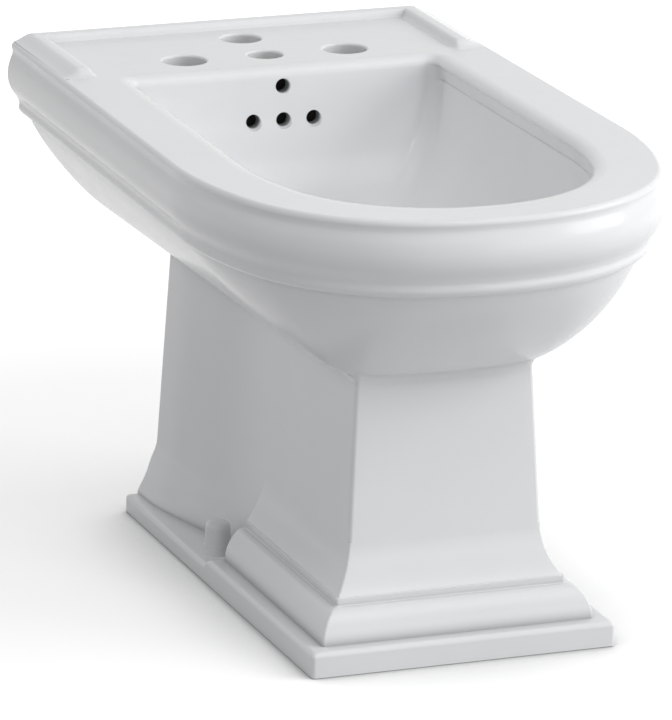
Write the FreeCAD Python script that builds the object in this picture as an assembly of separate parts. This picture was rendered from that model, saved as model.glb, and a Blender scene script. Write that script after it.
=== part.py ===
import FreeCAD, Part
import math
import os

os.makedirs("parts", exist_ok=True)
V = FreeCAD.Vector

# A floor-standing bidet of vitreous china with a vertical spray and a push-to-open waste.
# The front faces -Y, the wall side is at +Y, and the floor is at z = 0. Sizes are in mm.

# Overall sizes of the china
length = 622.0
deck_height = 362.0
lip_rise = 6.0
china_wall = 10.0
cut_over = 4.0
touching = 1e-6
rear_y = length / 2

# Plan of the flat rim: a shallow arc at the tip, two shoulders, and long arcs into the sides.
# Its radii are shares of its half width, and its turns are in degrees.
rim_half_width = 183.5
rim_tip_share = 1.27
rim_side_share = 1.82
rim_tip_turn = 14.0
rim_shoulder_turn = 57.0
rim_taper = 0.7
rim_edge_radius = 4.0

# Moulding down the outside of the rim: how far each line stands out, and how far down it is
rim_moulding_height = 61.0
rim_bulge = 3.2
rim_cove_out = -0.9
rim_cove_drop = 9.6
rim_bulge_drop = 25.5
rim_bead_out = -7.2
rim_bead_drop = 47.0
rim_step_out = -9.0
rim_step_drop = 57.5
rim_notch_out = -12.6
rim_notch = 1.9
rim_core_inset = 40.0

# Belly under the rim
belly_depth = 85.0
belly_front_half = 82.0
belly_front_overhang = 12.0
belly_tip_share = 3.6
belly_side_share = 3.6
belly_tip_turn = 11.0
belly_shoulder_turn = 74.0
belly_taper = -1.6
belly_swell = 1.2
belly_steps = 5

# Raised lip round the back of the deck
lip_top_half = 160.0
lip_foot_half = 173.5
lip_top_width = 8.5
lip_inner_slope = 4.0
lip_rear_width = 10.0
lip_end_from_rear = 120.0
lip_end_slope = 12.0
lip_edge_radius = 1.2

# Bowl
bowl_half_width = 132.8
bowl_rear_from_rear = 143.0
bowl_front_from_rear = 577.5
bowl_edge_radius = 9.0
bowl_collar_height = 10.0
bowl_depth = 126.0
bowl_corner_radius = 9.0
bowl_tip_share = 1.26
bowl_side_share = 1.97
bowl_tip_turn = 6.0
bowl_shoulder_turn = 65.5
bowl_taper = 0.55
bowl_steps = 6
bowl_edge_steps = 2
floor_half_width = 34.0
floor_rear_from_rear = 240.0
floor_front_from_rear = 425.0
floor_corner_radius = 28.0

# Holes in the deck and in the bowl's rear wall
tap_spacing = 135.0
tap_from_rear = 100.5
tap_hole_diameter = 35.0
diverter_hole_diameter = 28.0
breaker_hole_diameter = 32.0
breaker_from_rear = 44.0
deck_hole_chamfer = 1.6
overflow_hole_diameter = 11.2
overflow_top_drop = 16.0
overflow_row_drop = 42.6
overflow_pitch = 25.3

# Overflow channel behind the bowl and under its floor
channel_half_width = 34.0
channel_depth = 11.0
channel_wall = 6.0
channel_top_drop = 9.0

# Hollow inside of the china, open at the bottom and at the back
deck_thickness = 12.0
apron_depth = 62.0
hollow_rim_shares = [(0.0, -11.0), (0.4, -7.0), (0.78, -16.0), (1.0, -23.0)]

# Pedestal
plinth_half_width = 121.5
plinth_rear_from_rear = 118.5
plinth_front_from_rear = 550.0
plinth_slab_height = 19.5
plinth_edge_radius = 6.0
plinth_corner_radius = 3.0
ledge_height = 14.0
moulding_end_from_rear = 316.5
ovolo_foot_inset = 13.3
ovolo_top_inset = 24.5
ovolo_height = 24.0
ovolo_swell = 3.4
fillet_inset = 29.7
fillet_height = 6.0
fillet_slope = 0.7
cavetto_foot_inset = 31.0
cavetto_height = 38.0
cavetto_hollow = 3.6
column_foot_inset = 44.5
column_top_inset = 51.0
column_sink = 1.2
column_wall = 11.0

# Side of the pedestal behind the column: how far it is inside the plinth's side at the back, going up
pier_foot_inset = 10.5
pier_waist_inset = 27.0
pier_top_inset = 37.5
pier_foot_height = 44.0
side_shares = [(0.2, 0.07), (0.35, 0.25), (0.5, 0.52), (0.65, 0.76), (0.8, 0.95)]
pier_foot_shares = [(0.0, 1.0), (0.22, 0.74), (0.4, 0.52), (0.62, 0.33), (0.82, 0.1), (1.0, 0.0)]

# Floor fixings, one on each side
bolt_inset = 20.2
bolt_from_rear = 283.0
bolt_diameter = 8.0
bolt_hole_diameter = 11.0
bolt_head_length = 24.0
bolt_head_width = 13.0
bolt_head_thickness = 3.0
bolt_pocket_clearance = 1.5
bolt_clearance = 0.25
ledge_thickness = 9.0
cap_base_diameter = 17.8
cap_base_thickness = 1.6
cap_base_upstand = 5.0
cap_base_wall = 0.7
washer_diameter = 16.0
washer_thickness = 1.5
nut_width = 13.0
nut_height = 6.5
bolt_above_nut = 3.0
cap_diameter = 22.4
cap_top_diameter = 19.4
cap_height = 26.0
cap_wall = 1.8
cap_dome_shares = [(0.92, 0.4), (0.7, 0.8), (0.35, 0.97), (0.0, 1.0)]
cap_dome = 5.0

# Waste, in the bowl's lowest point
waste_from_rear = 285.0
waste_hole_diameter = 46.0
waste_thread_diameter = 40.0
waste_bore = 33.0
waste_flange_diameter = 62.0
waste_flange_thickness = 3.0
waste_dish = 2.0
waste_length = 78.0
waste_slot_width = 9.0
waste_slot_height = 10.0
waste_slots = 4
waste_slot_turn = 45.0
waste_slot_gap = 0.5
waste_dish_diameter = 46.0
seal_diameter = 58.0
seal_thickness = 2.0
gasket_diameter = 62.0
gasket_thickness = 7.0
friction_ring_diameter = 58.0
friction_ring_thickness = 1.5
waste_nut_width = 60.0
waste_nut_height = 9.0
thread_clearance = 0.2
tail_diameter = 32.0
tail_bore = 29.0
tail_length = 66.0
tail_overlap = 16.0
tail_bead_diameter = 37.0
tail_bead_height = 3.0

# Push-to-open stopper
stopper_diameter = 42.0
stopper_edge = 2.5
stopper_dome = 3.0
stopper_dome_shares = [(0.72, 0.5), (0.4, 0.85), (0.0, 1.0)]
stopper_seat_gap = 0.3
stopper_skirt_diameter = 27.0
stopper_skirt_height = 6.0
ring_diameter = 40.0
ring_thickness = 1.8
stem_diameter = 8.0
stem_length = 36.0
stem_foot_diameter = 12.0
stem_foot_height = 3.0
cartridge_diameter = 16.0
cartridge_length = 24.0
cartridge_bore = 12.6
cartridge_floor = 2.0
cartridge_collar = 2.0
cartridge_rim_diameter = 18.0
stem_guide_clearance = 0.3
boss_diameter = 20.0
boss_height = 10.0
spoke_width = 3.0
spokes = 3
spring_wire = 0.9
spring_diameter = 10.6
spring_turns = 6
spring_pitch = 1.08
spring_gap = 0.2
spring_steps = 10
spring_sides = 6

# Vertical spray, in front of the waste
spray_from_rear = 372.0
spray_hole_diameter = 26.0
spray_thread_diameter = 20.0
spray_bore = 12.0
spray_flange_diameter = 40.0
spray_flange_thickness = 2.5
spray_length = 62.0
spray_rose_diameter = 30.0
spray_rose_height = 7.0
spray_rose_wall = 2.0
spray_jet_diameter = 2.0
spray_jets = 6
spray_jet_circle = 16.0
spray_seal_thickness = 2.0
spray_gasket_diameter = 38.0
spray_gasket_thickness = 5.0
spray_washer_thickness = 1.5
spray_nut_width = 32.0
spray_nut_height = 8.0
union_nut_width = 28.0
union_nut_engagement = 12.0
union_nut_web = 4.0
inlet_tail_length = 42.0
inlet_tail_diameter = 14.0
inlet_tail_bore = 10.0
inlet_neck_diameter = 16.0
inlet_flange_diameter = 19.6
inlet_flange_thickness = 2.0

# Places worked out from the sizes
edge_front_y = -length / 2 + rim_bulge
notch_z = deck_height - rim_moulding_height
rim_shape = (rim_tip_share, rim_side_share, rim_tip_turn, rim_shoulder_turn, rim_taper)
belly_shape = (belly_tip_share, belly_side_share, belly_tip_turn, belly_shoulder_turn, belly_taper)
bowl_shape = (bowl_tip_share, bowl_side_share, bowl_tip_turn, bowl_shoulder_turn, bowl_taper)
belly_z = notch_z - belly_depth
bowl_rear_y = rear_y - bowl_rear_from_rear
bowl_front_y = rear_y - bowl_front_from_rear
bowl_rim_z = deck_height - bowl_edge_radius
basin_z = bowl_rim_z - bowl_collar_height
floor_z = deck_height - bowl_depth
plinth_rear_y = rear_y - plinth_rear_from_rear
plinth_front_y = rear_y - plinth_front_from_rear
moulding_end_y = rear_y - moulding_end_from_rear
fillet_z = plinth_slab_height + ovolo_height
cavetto_z = fillet_z + fillet_slope + fillet_height
column_z = cavetto_z + cavetto_height
waste_y = rear_y - waste_from_rear
spray_y = rear_y - spray_from_rear
bolt_x = plinth_half_width - bolt_inset
bolt_y = rear_y - bolt_from_rear
tap_y = rear_y - tap_from_rear
breaker_y = rear_y - breaker_from_rear
channel_outset = china_wall + channel_depth
under_floor_z = floor_z - channel_outset - channel_wall
seal_top_z = floor_z + seal_thickness
waste_top_z = seal_top_z + waste_flange_thickness
waste_end_z = seal_top_z - waste_length
dish_share = (waste_dish_diameter - ring_diameter) / (waste_dish_diameter - waste_bore)
ring_z = waste_top_z - waste_dish * dish_share
cap_under_z = ring_z + stopper_seat_gap + ring_thickness
stem_top_z = cap_under_z - stopper_skirt_height
stem_foot_z = stem_top_z - stem_length
spring_length = spring_turns * spring_pitch + spring_wire
cartridge_z = stem_foot_z - spring_gap - spring_length - cartridge_floor
spray_top_z = floor_z + spray_seal_thickness + spray_flange_thickness
spray_end_z = floor_z + spray_seal_thickness - spray_length


def blend(a, b, share):
    return a + (b - a) * share


def bend_points(half, front, shape):
    """The arcs of a D-shaped plan on its right side, from the tip back: centre, radius and both angles."""
    tip_share, side_share, tip_turn, shoulder_turn, taper = shape
    first = math.radians(tip_turn)
    second = math.radians(tip_turn + shoulder_turn)
    last = math.radians(90.0 - taper)
    tip = half * tip_share
    flank = half * side_share
    spread = math.sin(second) - math.sin(first)
    shoulder = (half - tip * math.sin(first) - flank * (math.sin(last) - math.sin(second))) / spread
    centre = V(0, front + tip, 0)
    arcs = [(centre, tip, 0.0, first)]
    for radius, start, end in ((shoulder, first, second), (flank, second, last)):
        shift = arcs[-1][1] - radius
        centre = centre + V(shift * math.sin(start), -shift * math.cos(start), 0)
        arcs.append((centre, radius, start, end))
    return arcs


def on_arc(centre, radius, angle, z, side=1):
    return V(side * (centre.x + radius * math.sin(angle)), centre.y - radius * math.cos(angle), z)


def plan(half, rear, front, shape, z, outset=0.0, corner=0.0):
    """A D-shaped plan, grown by outset at its sides and front, with rounded rear corners if asked."""
    edges = []
    ends = []
    taper = math.tan(math.radians(shape[-1]))
    arcs = bend_points(half, front, shape)
    for side in (1, -1):
        for centre, radius, start, end in arcs:
            grown = radius + outset
            points = [on_arc(centre, grown, angle, z, side) for angle in (start, (start + end) / 2, end)]
            edges.append(Part.Arc(*points).toShape())
        flank_end = V(points[-1].x - side * (rear - corner - points[-1].y) * taper, rear - corner, z)
        edges.append(Part.LineSegment(points[-1], flank_end).toShape())
        if corner > 0:
            slant = corner * (1 - math.sqrt(0.5))
            middle = V(flank_end.x - side * slant, rear - slant, z)
            corner_end = V(flank_end.x - side * corner, rear, z)
            edges.append(Part.Arc(flank_end, middle, corner_end).toShape())
            flank_end = corner_end
        ends.append(flank_end)
    edges.append(Part.LineSegment(*ends).toShape())
    return Part.Wire(Part.__sortEdges__(edges))


def loft(wires, ruled=True):
    return Part.makeLoft(wires, True, ruled)


def rim_wire(outset, z):
    return plan(rim_half_width, rear_y, edge_front_y, rim_shape, z, outset)


def belly_wire(share, inset, z, behind=0.0):
    """Plan of the belly: share 0 is under the rim, share 1 is on the pedestal."""
    top = rim_notch_out - rim_notch
    half = blend(rim_half_width + top, belly_front_half, share)
    front = blend(edge_front_y - top, column_front(belly_z) - belly_front_overhang, share)
    shape = [blend(a, b, share) for a, b in zip(rim_shape, belly_shape)]
    return plan(half, rear_y + behind, front, shape, z, -inset)


def column_inset(z):
    share = (z - column_z) / (belly_z - column_z)
    return blend(column_foot_inset, column_top_inset, share)


def column_front(z):
    return plinth_front_y + column_inset(z)


def rim_section(place):
    """The rim's section as a face; place turns an outset and a height into a point."""
    def at(outset, drop):
        return place(outset, deck_height - drop)

    slant = rim_edge_radius * (1 - math.sqrt(0.5))
    crown = at(-rim_edge_radius, 0.0)
    corner = at(0.0, rim_edge_radius)
    cove = at(rim_cove_out, rim_cove_drop)
    bead = at(rim_bead_out, rim_bead_drop)
    edges = [Part.Arc(crown, at(-slant, slant), corner).toShape()]
    edges.append(Part.LineSegment(corner, cove).toShape())
    edges.append(Part.Arc(cove, at(rim_bulge, rim_bulge_drop), bead).toShape())
    step = at(rim_step_out, rim_step_drop)
    foot = [at(rim_notch_out, rim_moulding_height), at(-rim_core_inset, rim_moulding_height)]
    edges += Part.makePolygon([bead, step, *foot, at(-rim_core_inset, 0.0), crown]).Edges
    return Part.Face(Part.Wire(edges))


def rim():
    """The rim: its section carried along both sides and turned round the front, on a flat core."""
    pieces = [loft([rim_wire(-rim_core_inset, notch_z), rim_wire(-rim_core_inset, deck_height)])]
    arcs = bend_points(rim_half_width, edge_front_y, rim_shape)
    for side in (1, -1):
        for centre, radius, start, end in arcs:
            section = rim_section(lambda outset, z: on_arc(centre, radius + outset, start, z, side))
            axis = V(side * centre.x, centre.y, 0)
            pieces.append(section.revolve(axis, V(0, 0, side), math.degrees(end - start)))
        flank = rim_section(lambda outset, z: on_arc(centre, radius + outset, end, z, side))
        along = V(-side * math.sin(math.radians(rim_taper)), math.cos(math.radians(rim_taper)), 0)
        reach = (rear_y - on_arc(centre, radius, end, 0.0).y) / along.y
        pieces.append(flank.extrude(along * (reach + cut_over)))
    behind = block(-rim_half_width - rim_bulge, rim_half_width + rim_bulge, rear_y, rear_y + 2 * cut_over,
                   notch_z, deck_height)
    return pieces[0].fuse(pieces[1:]).cut(behind).removeSplitter()


def belly_levels():
    """Shares of the way in, and heights, down the belly from the notch."""
    levels = []
    for step in range(belly_steps + 1):
        drop = math.sin(math.radians(90.0) * step / belly_steps)
        share = 1 - (1 - drop ** belly_swell) ** (1 / belly_swell)
        levels.append((share, notch_z - belly_depth * drop))
    return levels


def belly_skin():
    return loft([belly_wire(share, 0.0, z) for share, z in belly_levels()])


def lip():
    """The raised border along the back and the rear of both sides, with sloping ends."""
    def border(outer, inner, rear_width, end_from_rear, z):
        end_y = rear_y - end_from_rear
        inner_y = rear_y - rear_width
        corners = [V(-outer, rear_y, z), V(outer, rear_y, z), V(outer, end_y, z), V(inner, end_y, z),
                   V(inner, inner_y, z), V(-inner, inner_y, z), V(-inner, end_y, z), V(-outer, end_y, z)]
        return Part.makePolygon(corners + corners[:1])

    top_inner = lip_top_half - lip_top_width
    foot_inner = top_inner - lip_inner_slope
    foot_rear = lip_rear_width + lip_inner_slope
    foot_end = lip_end_from_rear + lip_end_slope
    base = border(lip_foot_half, foot_inner, foot_rear, foot_end, deck_height - lip_rise)
    foot = border(lip_foot_half, foot_inner, foot_rear, foot_end, deck_height)
    top = border(lip_top_half, top_inner, lip_rear_width, lip_end_from_rear, deck_height + lip_rise)
    raised = loft([foot, top])
    edges = [e for e in raised.Edges if min(v.Point.z for v in e.Vertexes) > deck_height + lip_rise / 2]
    return loft([base, foot]).fuse(raised.makeFillet(lip_edge_radius, edges))


def bowl_wire(outset, share, z):
    """Plan of the bowl: share 0 is the rim's opening, share 1 is the floor."""
    half = blend(bowl_half_width, floor_half_width, share)
    rear = blend(bowl_rear_y, rear_y - floor_rear_from_rear, share) + outset
    front = blend(bowl_front_y, rear_y - floor_front_from_rear, share)
    corner = blend(bowl_corner_radius, floor_corner_radius, math.sqrt(share)) + outset
    return plan(half, rear, front, bowl_shape, z, outset, corner)


def bowl_levels():
    levels = []
    for step in range(bowl_steps + 1):
        turn = math.radians(90.0) * step / bowl_steps
        levels.append((1 - math.cos(turn), blend(basin_z, floor_z, math.sin(turn))))
    return levels


def basin(outset=0.0):
    """The bowl's basin, or its outside where an outset is given."""
    return loft([bowl_wire(outset, share, z - outset * share) for share, z in bowl_levels()])


def bowl_inside():
    rounding = []
    for step in range(bowl_edge_steps + 1):
        turn = math.radians(90.0) * step / bowl_edge_steps
        outset = bowl_edge_radius * (1 - math.sin(turn))
        rounding.append(bowl_wire(outset, 0.0, deck_height - bowl_edge_radius * (1 - math.cos(turn))))
    collar = [bowl_wire(0.0, 0.0, bowl_rim_z), bowl_wire(0.0, 0.0, basin_z)]
    above = loft([bowl_wire(bowl_edge_radius, 0.0, z) for z in (deck_height, deck_height + lip_rise)])
    return loft(rounding).fuse([loft(collar), basin(), above])


def block(x0, x1, y0, y1, z0, z1):
    return Part.makeBox(x1 - x0, y1 - y0, z1 - z0, V(x0, y0, z0))


def rod(diameter, z0, z1, x=0.0, y=0.0):
    return Part.makeCylinder(diameter / 2, z1 - z0, V(x, y, z0))


def ring(outer, bore, z0, z1, x=0.0, y=0.0):
    return rod(outer, z0, z1, x, y).cut(rod(bore, z0 - cut_over, z1 + cut_over, x, y))


def turned(points, x=0.0, y=0.0):
    """A solid turned about the upright line through x, y; points are radius and height."""
    corners = [V(x + radius, y, z) for radius, z in points]
    return Part.Face(Part.makePolygon(corners + corners[:1])).revolve(V(x, y, 0), V(0, 0, 1), 360)


def chamfered_hole(diameter, chamfer, x, y, top, bottom):
    """A cutter for a hole with a chamfered upper edge."""
    radius = diameter / 2
    return turned([(0.0, bottom), (radius, bottom), (radius, top - chamfer), (radius + chamfer, top),
                   (radius + chamfer, top + cut_over), (0.0, top + cut_over)], x, y)


def hexagon(width, z0, z1, x, y, sides=6):
    radius = width / 2 / math.cos(math.pi / sides)
    corners = []
    for k in range(sides):
        turn = 2 * math.pi * k / sides
        corners.append(V(x + radius * math.cos(turn), y + radius * math.sin(turn), z0))
    return Part.Face(Part.makePolygon(corners + corners[:1])).extrude(V(0, 0, z1 - z0))


def bowl_shell(outset, top):
    """The bowl and its collar grown by outset, up to the height top."""
    collar = loft([bowl_wire(outset, 0.0, basin_z), bowl_wire(outset, 0.0, top)])
    return basin(outset).fuse(collar)


def pier_half(z):
    """Half width of the pedestal at its back, at height z."""
    foot = plinth_half_width - pier_foot_inset
    waist = plinth_half_width - pier_waist_inset
    top = plinth_half_width - pier_top_inset
    waist_z = ledge_height + pier_foot_height
    if z >= waist_z:
        return blend(waist, top, (z - waist_z) / (belly_z - waist_z))
    share = (z - ledge_height) / pier_foot_height
    for (low, wide), (high, narrow) in zip(pier_foot_shares, pier_foot_shares[1:]):
        if low <= share <= high:
            return blend(waist, foot, blend(wide, narrow, (share - low) / (high - low)))
    return foot


def shaft_wire(z, inset, rear):
    """Plan of the pedestal: a straight-sided column in front, swelling to the pier at the back."""
    half = plinth_half_width - column_inset(z) - inset
    front = column_front(z) + inset
    pier = pier_half(z) - inset
    sides = []
    for side in (1, -1):
        points = [V(side * half, moulding_end_y, z)]
        for along, swell in side_shares:
            points.append(V(side * blend(half, pier, swell), blend(moulding_end_y, plinth_rear_y, along), z))
        points.append(V(side * pier, plinth_rear_y, z))
        curve = Part.BSplineCurve()
        curve.interpolate(Points=points, InitialTangent=V(0, 1, 0), FinalTangent=V(0, 1, 0))
        sides.append(([V(side * half, front, z), V(side * half, moulding_end_y, z)], curve.toShape()))
    (right_line, right_curve), (left_line, left_curve) = sides
    edges = [Part.LineSegment(left_line[0], right_line[0]).toShape()]
    edges += [Part.LineSegment(*right_line).toShape(), right_curve]
    if rear > plinth_rear_y:
        edges.append(Part.LineSegment(V(pier, plinth_rear_y, z), V(pier, rear, z)).toShape())
    edges.append(Part.LineSegment(V(pier, rear, z), V(-pier, rear, z)).toShape())
    if rear > plinth_rear_y:
        edges.append(Part.LineSegment(V(-pier, rear, z), V(-pier, plinth_rear_y, z)).toShape())
    edges += [left_curve, Part.LineSegment(*left_line).toShape()]
    return Part.Wire(Part.__sortEdges__(edges))


def shaft():
    """The pedestal's outside, from its flared foot up into the belly."""
    foot = [ledge_height + pier_foot_height * low for low, wide in pier_foot_shares]
    waist_z = foot[-1]
    upper = [waist_z, blend(waist_z, belly_z, 0.5), belly_z + belly_front_overhang]
    below = loft([shaft_wire(z, 0.0, plinth_rear_y) for z in foot])
    above = loft([shaft_wire(z, 0.0, plinth_rear_y) for z in upper])
    root = loft([shaft_wire(z, 0.0, plinth_rear_y) for z in (ledge_height - cut_over, ledge_height)])
    return below.fuse([above, root])


def arc_through(start, end, swell):
    """An arc from start to end that stands out by swell, to the left of its way."""
    along = end.sub(start)
    normal = V(0, -along.z, along.y) if abs(start.x - end.x) < touching else V(-along.z, 0, along.x)
    middle = start.add(end).multiply(0.5).add(normal.normalize().multiply(swell))
    return Part.Arc(start, middle, end).toShape()


def moulding_face(place):
    """The mouldings in section, from the slab up to the column, with their lowest and highest points."""
    slab_z = plinth_slab_height
    foot = [place(ovolo_foot_inset, slab_z - cut_over), place(ovolo_foot_inset, slab_z)]
    ovolo_top = place(ovolo_top_inset, fillet_z)
    step = [ovolo_top, place(fillet_inset, fillet_z + fillet_slope), place(fillet_inset, cavetto_z),
            place(cavetto_foot_inset, cavetto_z)]
    top = place(column_foot_inset + column_sink, column_z)
    edges = Part.makePolygon(foot).Edges + [arc_through(foot[-1], ovolo_top, place.outward * ovolo_swell)]
    edges += Part.makePolygon(step).Edges + [arc_through(step[-1], top, -place.outward * cavetto_hollow)]
    return edges, foot[0], top


class Place:
    """Turns an inset from the plinth's face and a height into a point on one side of the plinth."""

    def __init__(self, side, across):
        self.side = side
        self.across = across
        self.outward = -side if across else 1

    def __call__(self, inset, z):
        if self.across:
            return V(self.side * (plinth_half_width - inset), plinth_front_y - cut_over, z)
        return V(-plinth_half_width - cut_over, plinth_front_y + inset, z)


def mouldings():
    """Ovolo, fillet and cavetto round the column's foot, mitred at its front corners."""
    right, right_foot, right_top = moulding_face(Place(-1, True))
    left, left_foot, left_top = moulding_face(Place(1, True))
    across = right + left + [Part.LineSegment(right_foot, left_foot).toShape()]
    across.append(Part.LineSegment(right_top, left_top).toShape())
    depth = moulding_end_y - plinth_front_y + cut_over
    sides = Part.Face(Part.Wire(Part.__sortEdges__(across))).extrude(V(0, depth, 0))
    front, foot, top = moulding_face(Place(1, False))
    back_foot = V(foot.x, moulding_end_y, foot.z)
    back_top = V(top.x, moulding_end_y, top.z)
    front += Part.makePolygon([top, back_top, back_foot, foot]).Edges
    width = 2 * (plinth_half_width + cut_over)
    ends = Part.Face(Part.Wire(Part.__sortEdges__(front))).extrude(V(width, 0, 0))
    return sides.common(ends)


def plinth():
    """The slab on the floor, thicker under the mouldings, with rounded upper edges."""
    half = plinth_half_width
    low = block(-half, half, plinth_front_y, plinth_rear_y, 0.0, ledge_height)
    high = block(-half, half, plinth_front_y, moulding_end_y, 0.0, plinth_slab_height)
    high = high.makeFillet(plinth_corner_radius, upright_edges(high, plinth_front_y))
    low = low.makeFillet(plinth_corner_radius, upright_edges(low, None))
    rounded = []
    for slab, top, radius, keep in ((high, plinth_slab_height, plinth_edge_radius, moulding_end_y),
                                    (low, ledge_height, plinth_corner_radius / 2, None)):
        edges = [e for e in slab.Edges
                 if all(abs(v.Point.z - top) < touching for v in e.Vertexes)
                 and not all(keep is not None and abs(v.Point.y - keep) < touching for v in e.Vertexes)]
        rounded.append(slab.makeFillet(radius, edges))
    return rounded[0].fuse(rounded[1])


def upright_edges(slab, at_y):
    found = []
    for edge in slab.Edges:
        ends = [v.Point for v in edge.Vertexes]
        upright = abs(ends[0].z - ends[-1].z) > plinth_corner_radius
        if upright and (at_y is None or abs(ends[0].y - at_y) < touching):
            found.append(edge)
    return found


def hollow():
    """The space inside the china, round the bowl and down through the pedestal."""
    top = deck_height - deck_thickness
    rim_levels = [rim_wire(outset, blend(top, notch_z, drop)) for drop, outset in hollow_rim_shares]
    rim_space = loft(rim_levels)
    apron = block(-rim_half_width, rim_half_width, rear_y - china_wall, rear_y + cut_over,
                  deck_height - apron_depth, deck_height)
    belly_space = []
    for share, z in belly_levels():
        if z >= belly_z + china_wall:
            belly_space.append(belly_wire(share, china_wall, z, cut_over))
    belly_space = loft(belly_space)
    reach = plinth_rear_y + cut_over
    foot = [shaft_wire(z, column_wall, reach) for z in (-cut_over, ledge_height)]
    flare = [shaft_wire(ledge_height + pier_foot_height * low, column_wall, reach)
             for low, wide in pier_foot_shares]
    upper = [shaft_wire(z, column_wall, reach)
             for z in (ledge_height + pier_foot_height, belly_z + china_wall + cut_over)]
    space = rim_space.cut(apron).fuse([belly_space, loft(foot), loft(flare), loft(upper)])
    bowl_outside = bowl_shell(china_wall, deck_height)
    channel_skin = bowl_shell(channel_outset + channel_wall, deck_height)
    half = channel_half_width + channel_wall
    channel_skin = channel_skin.common(block(-half, half, waste_y - half, rear_y, 0.0, deck_height))
    return space.cut(bowl_outside).cut(channel_skin)


def overflow_channel():
    """The way from the overflow holes down behind the bowl and under its floor to the waste hole."""
    top = deck_height - channel_top_drop
    slab = bowl_shell(channel_outset, deck_height).cut(bowl_shell(china_wall, deck_height))
    half = channel_half_width
    return slab.common(block(-half, half, waste_y - half, rear_y, 0.0, top))


def overflow_holes():
    """Holes through the bowl's rear wall: one above a row of three."""
    start = bowl_rear_y - bowl_edge_radius
    reach = bowl_edge_radius + china_wall + channel_depth / 2
    holes = []
    for x, drop in ((0.0, overflow_top_drop), (-overflow_pitch, overflow_row_drop),
                    (0.0, overflow_row_drop), (overflow_pitch, overflow_row_drop)):
        foot = V(x, start, deck_height - drop)
        holes.append(Part.makeCylinder(overflow_hole_diameter / 2, reach, foot, V(0, 1, 0)))
    return holes


def deck_holes():
    holes = []
    taps = [(side * tap_spacing / 2, tap_y, tap_hole_diameter) for side in (-1, 1)]
    middle = [(0.0, tap_y, diverter_hole_diameter), (0.0, breaker_y, breaker_hole_diameter)]
    for x, y, diameter in taps + middle:
        holes.append(chamfered_hole(diameter, deck_hole_chamfer, x, y, deck_height,
                                    deck_height - deck_thickness - cut_over))
    return holes


def bolt_hole(side):
    """A hole through the ledge with a pocket below it for the bolt's oval head."""
    x = side * bolt_x
    pocket_top = ledge_height - ledge_thickness
    long_half = bolt_head_length / 2 + bolt_pocket_clearance
    wide_half = bolt_head_width / 2 + bolt_pocket_clearance
    pocket = block(x - wide_half, x + wide_half, bolt_y - long_half, bolt_y + long_half,
                   -cut_over, pocket_top)
    return rod(bolt_hole_diameter, -cut_over, ledge_height + cut_over, x, bolt_y).fuse(pocket)


def china_body():
    outside = rim().fuse([belly_skin(), lip(), shaft(), mouldings(), plinth()])
    body = outside.cut(hollow()).cut(overflow_channel()).cut(bowl_inside())
    cutters = overflow_holes() + deck_holes() + [bolt_hole(side) for side in (-1, 1)]
    over_z = floor_z + cut_over
    cutters.append(rod(waste_hole_diameter, under_floor_z - cut_over, over_z, 0.0, waste_y))
    cutters.append(rod(spray_hole_diameter, floor_z - china_wall - cut_over, over_z, 0.0, spray_y))
    return body.cut(cutters)


def cap_base(side):
    """The washer that the bolt cap snaps over, with a low upstand."""
    x = side * bolt_x
    bore = bolt_diameter + 2 * bolt_clearance
    disc = ring(cap_base_diameter, bore, ledge_height, ledge_height + cap_base_thickness, x, bolt_y)
    inner = cap_base_diameter - 2 * cap_base_wall
    top = ledge_height + cap_base_upstand
    return disc.fuse(ring(cap_base_diameter, inner, ledge_height, top, x, bolt_y))


def bolt_cap(side):
    """A hollow cap that tapers up to a domed top."""
    foot = cap_diameter / 2
    top = cap_top_diameter / 2
    shoulder_z = ledge_height + cap_height - cap_dome
    outer = [(foot, ledge_height), (top, shoulder_z)]
    outer += [(top * wide, shoulder_z + cap_dome * high) for wide, high in cap_dome_shares]
    inner = [(0.0, shoulder_z), (top - cap_wall, shoulder_z), (foot - cap_wall, ledge_height)]
    return turned(outer + inner, side * bolt_x, bolt_y)


washer_z = ledge_height + cap_base_thickness
nut_z = washer_z + washer_thickness


def floor_bolt(side):
    """A bolt with an oval head held under the ledge."""
    x = side * bolt_x
    head_top = ledge_height - ledge_thickness
    head_z = head_top - bolt_head_thickness
    radius = bolt_head_width / 2
    along = bolt_head_length / 2 - radius
    head = block(x - radius, x + radius, bolt_y - along, bolt_y + along, head_z, head_top)
    for end in (-1, 1):
        head = head.fuse(rod(bolt_head_width, head_z, head_top, x, bolt_y + end * along))
    top = nut_z + nut_height + bolt_above_nut
    return head.fuse(rod(bolt_diameter, head_z, top, x, bolt_y)).removeSplitter()


def bolt_washer(side):
    bore = bolt_diameter + 2 * bolt_clearance
    return ring(washer_diameter, bore, washer_z, nut_z, side * bolt_x, bolt_y)


def bolt_nut(side):
    x = side * bolt_x
    nut = hexagon(nut_width, nut_z, nut_z + nut_height, x, bolt_y)
    return nut.cut(rod(bolt_diameter, nut_z - cut_over, nut_z + nut_height + cut_over, x, bolt_y))


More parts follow.
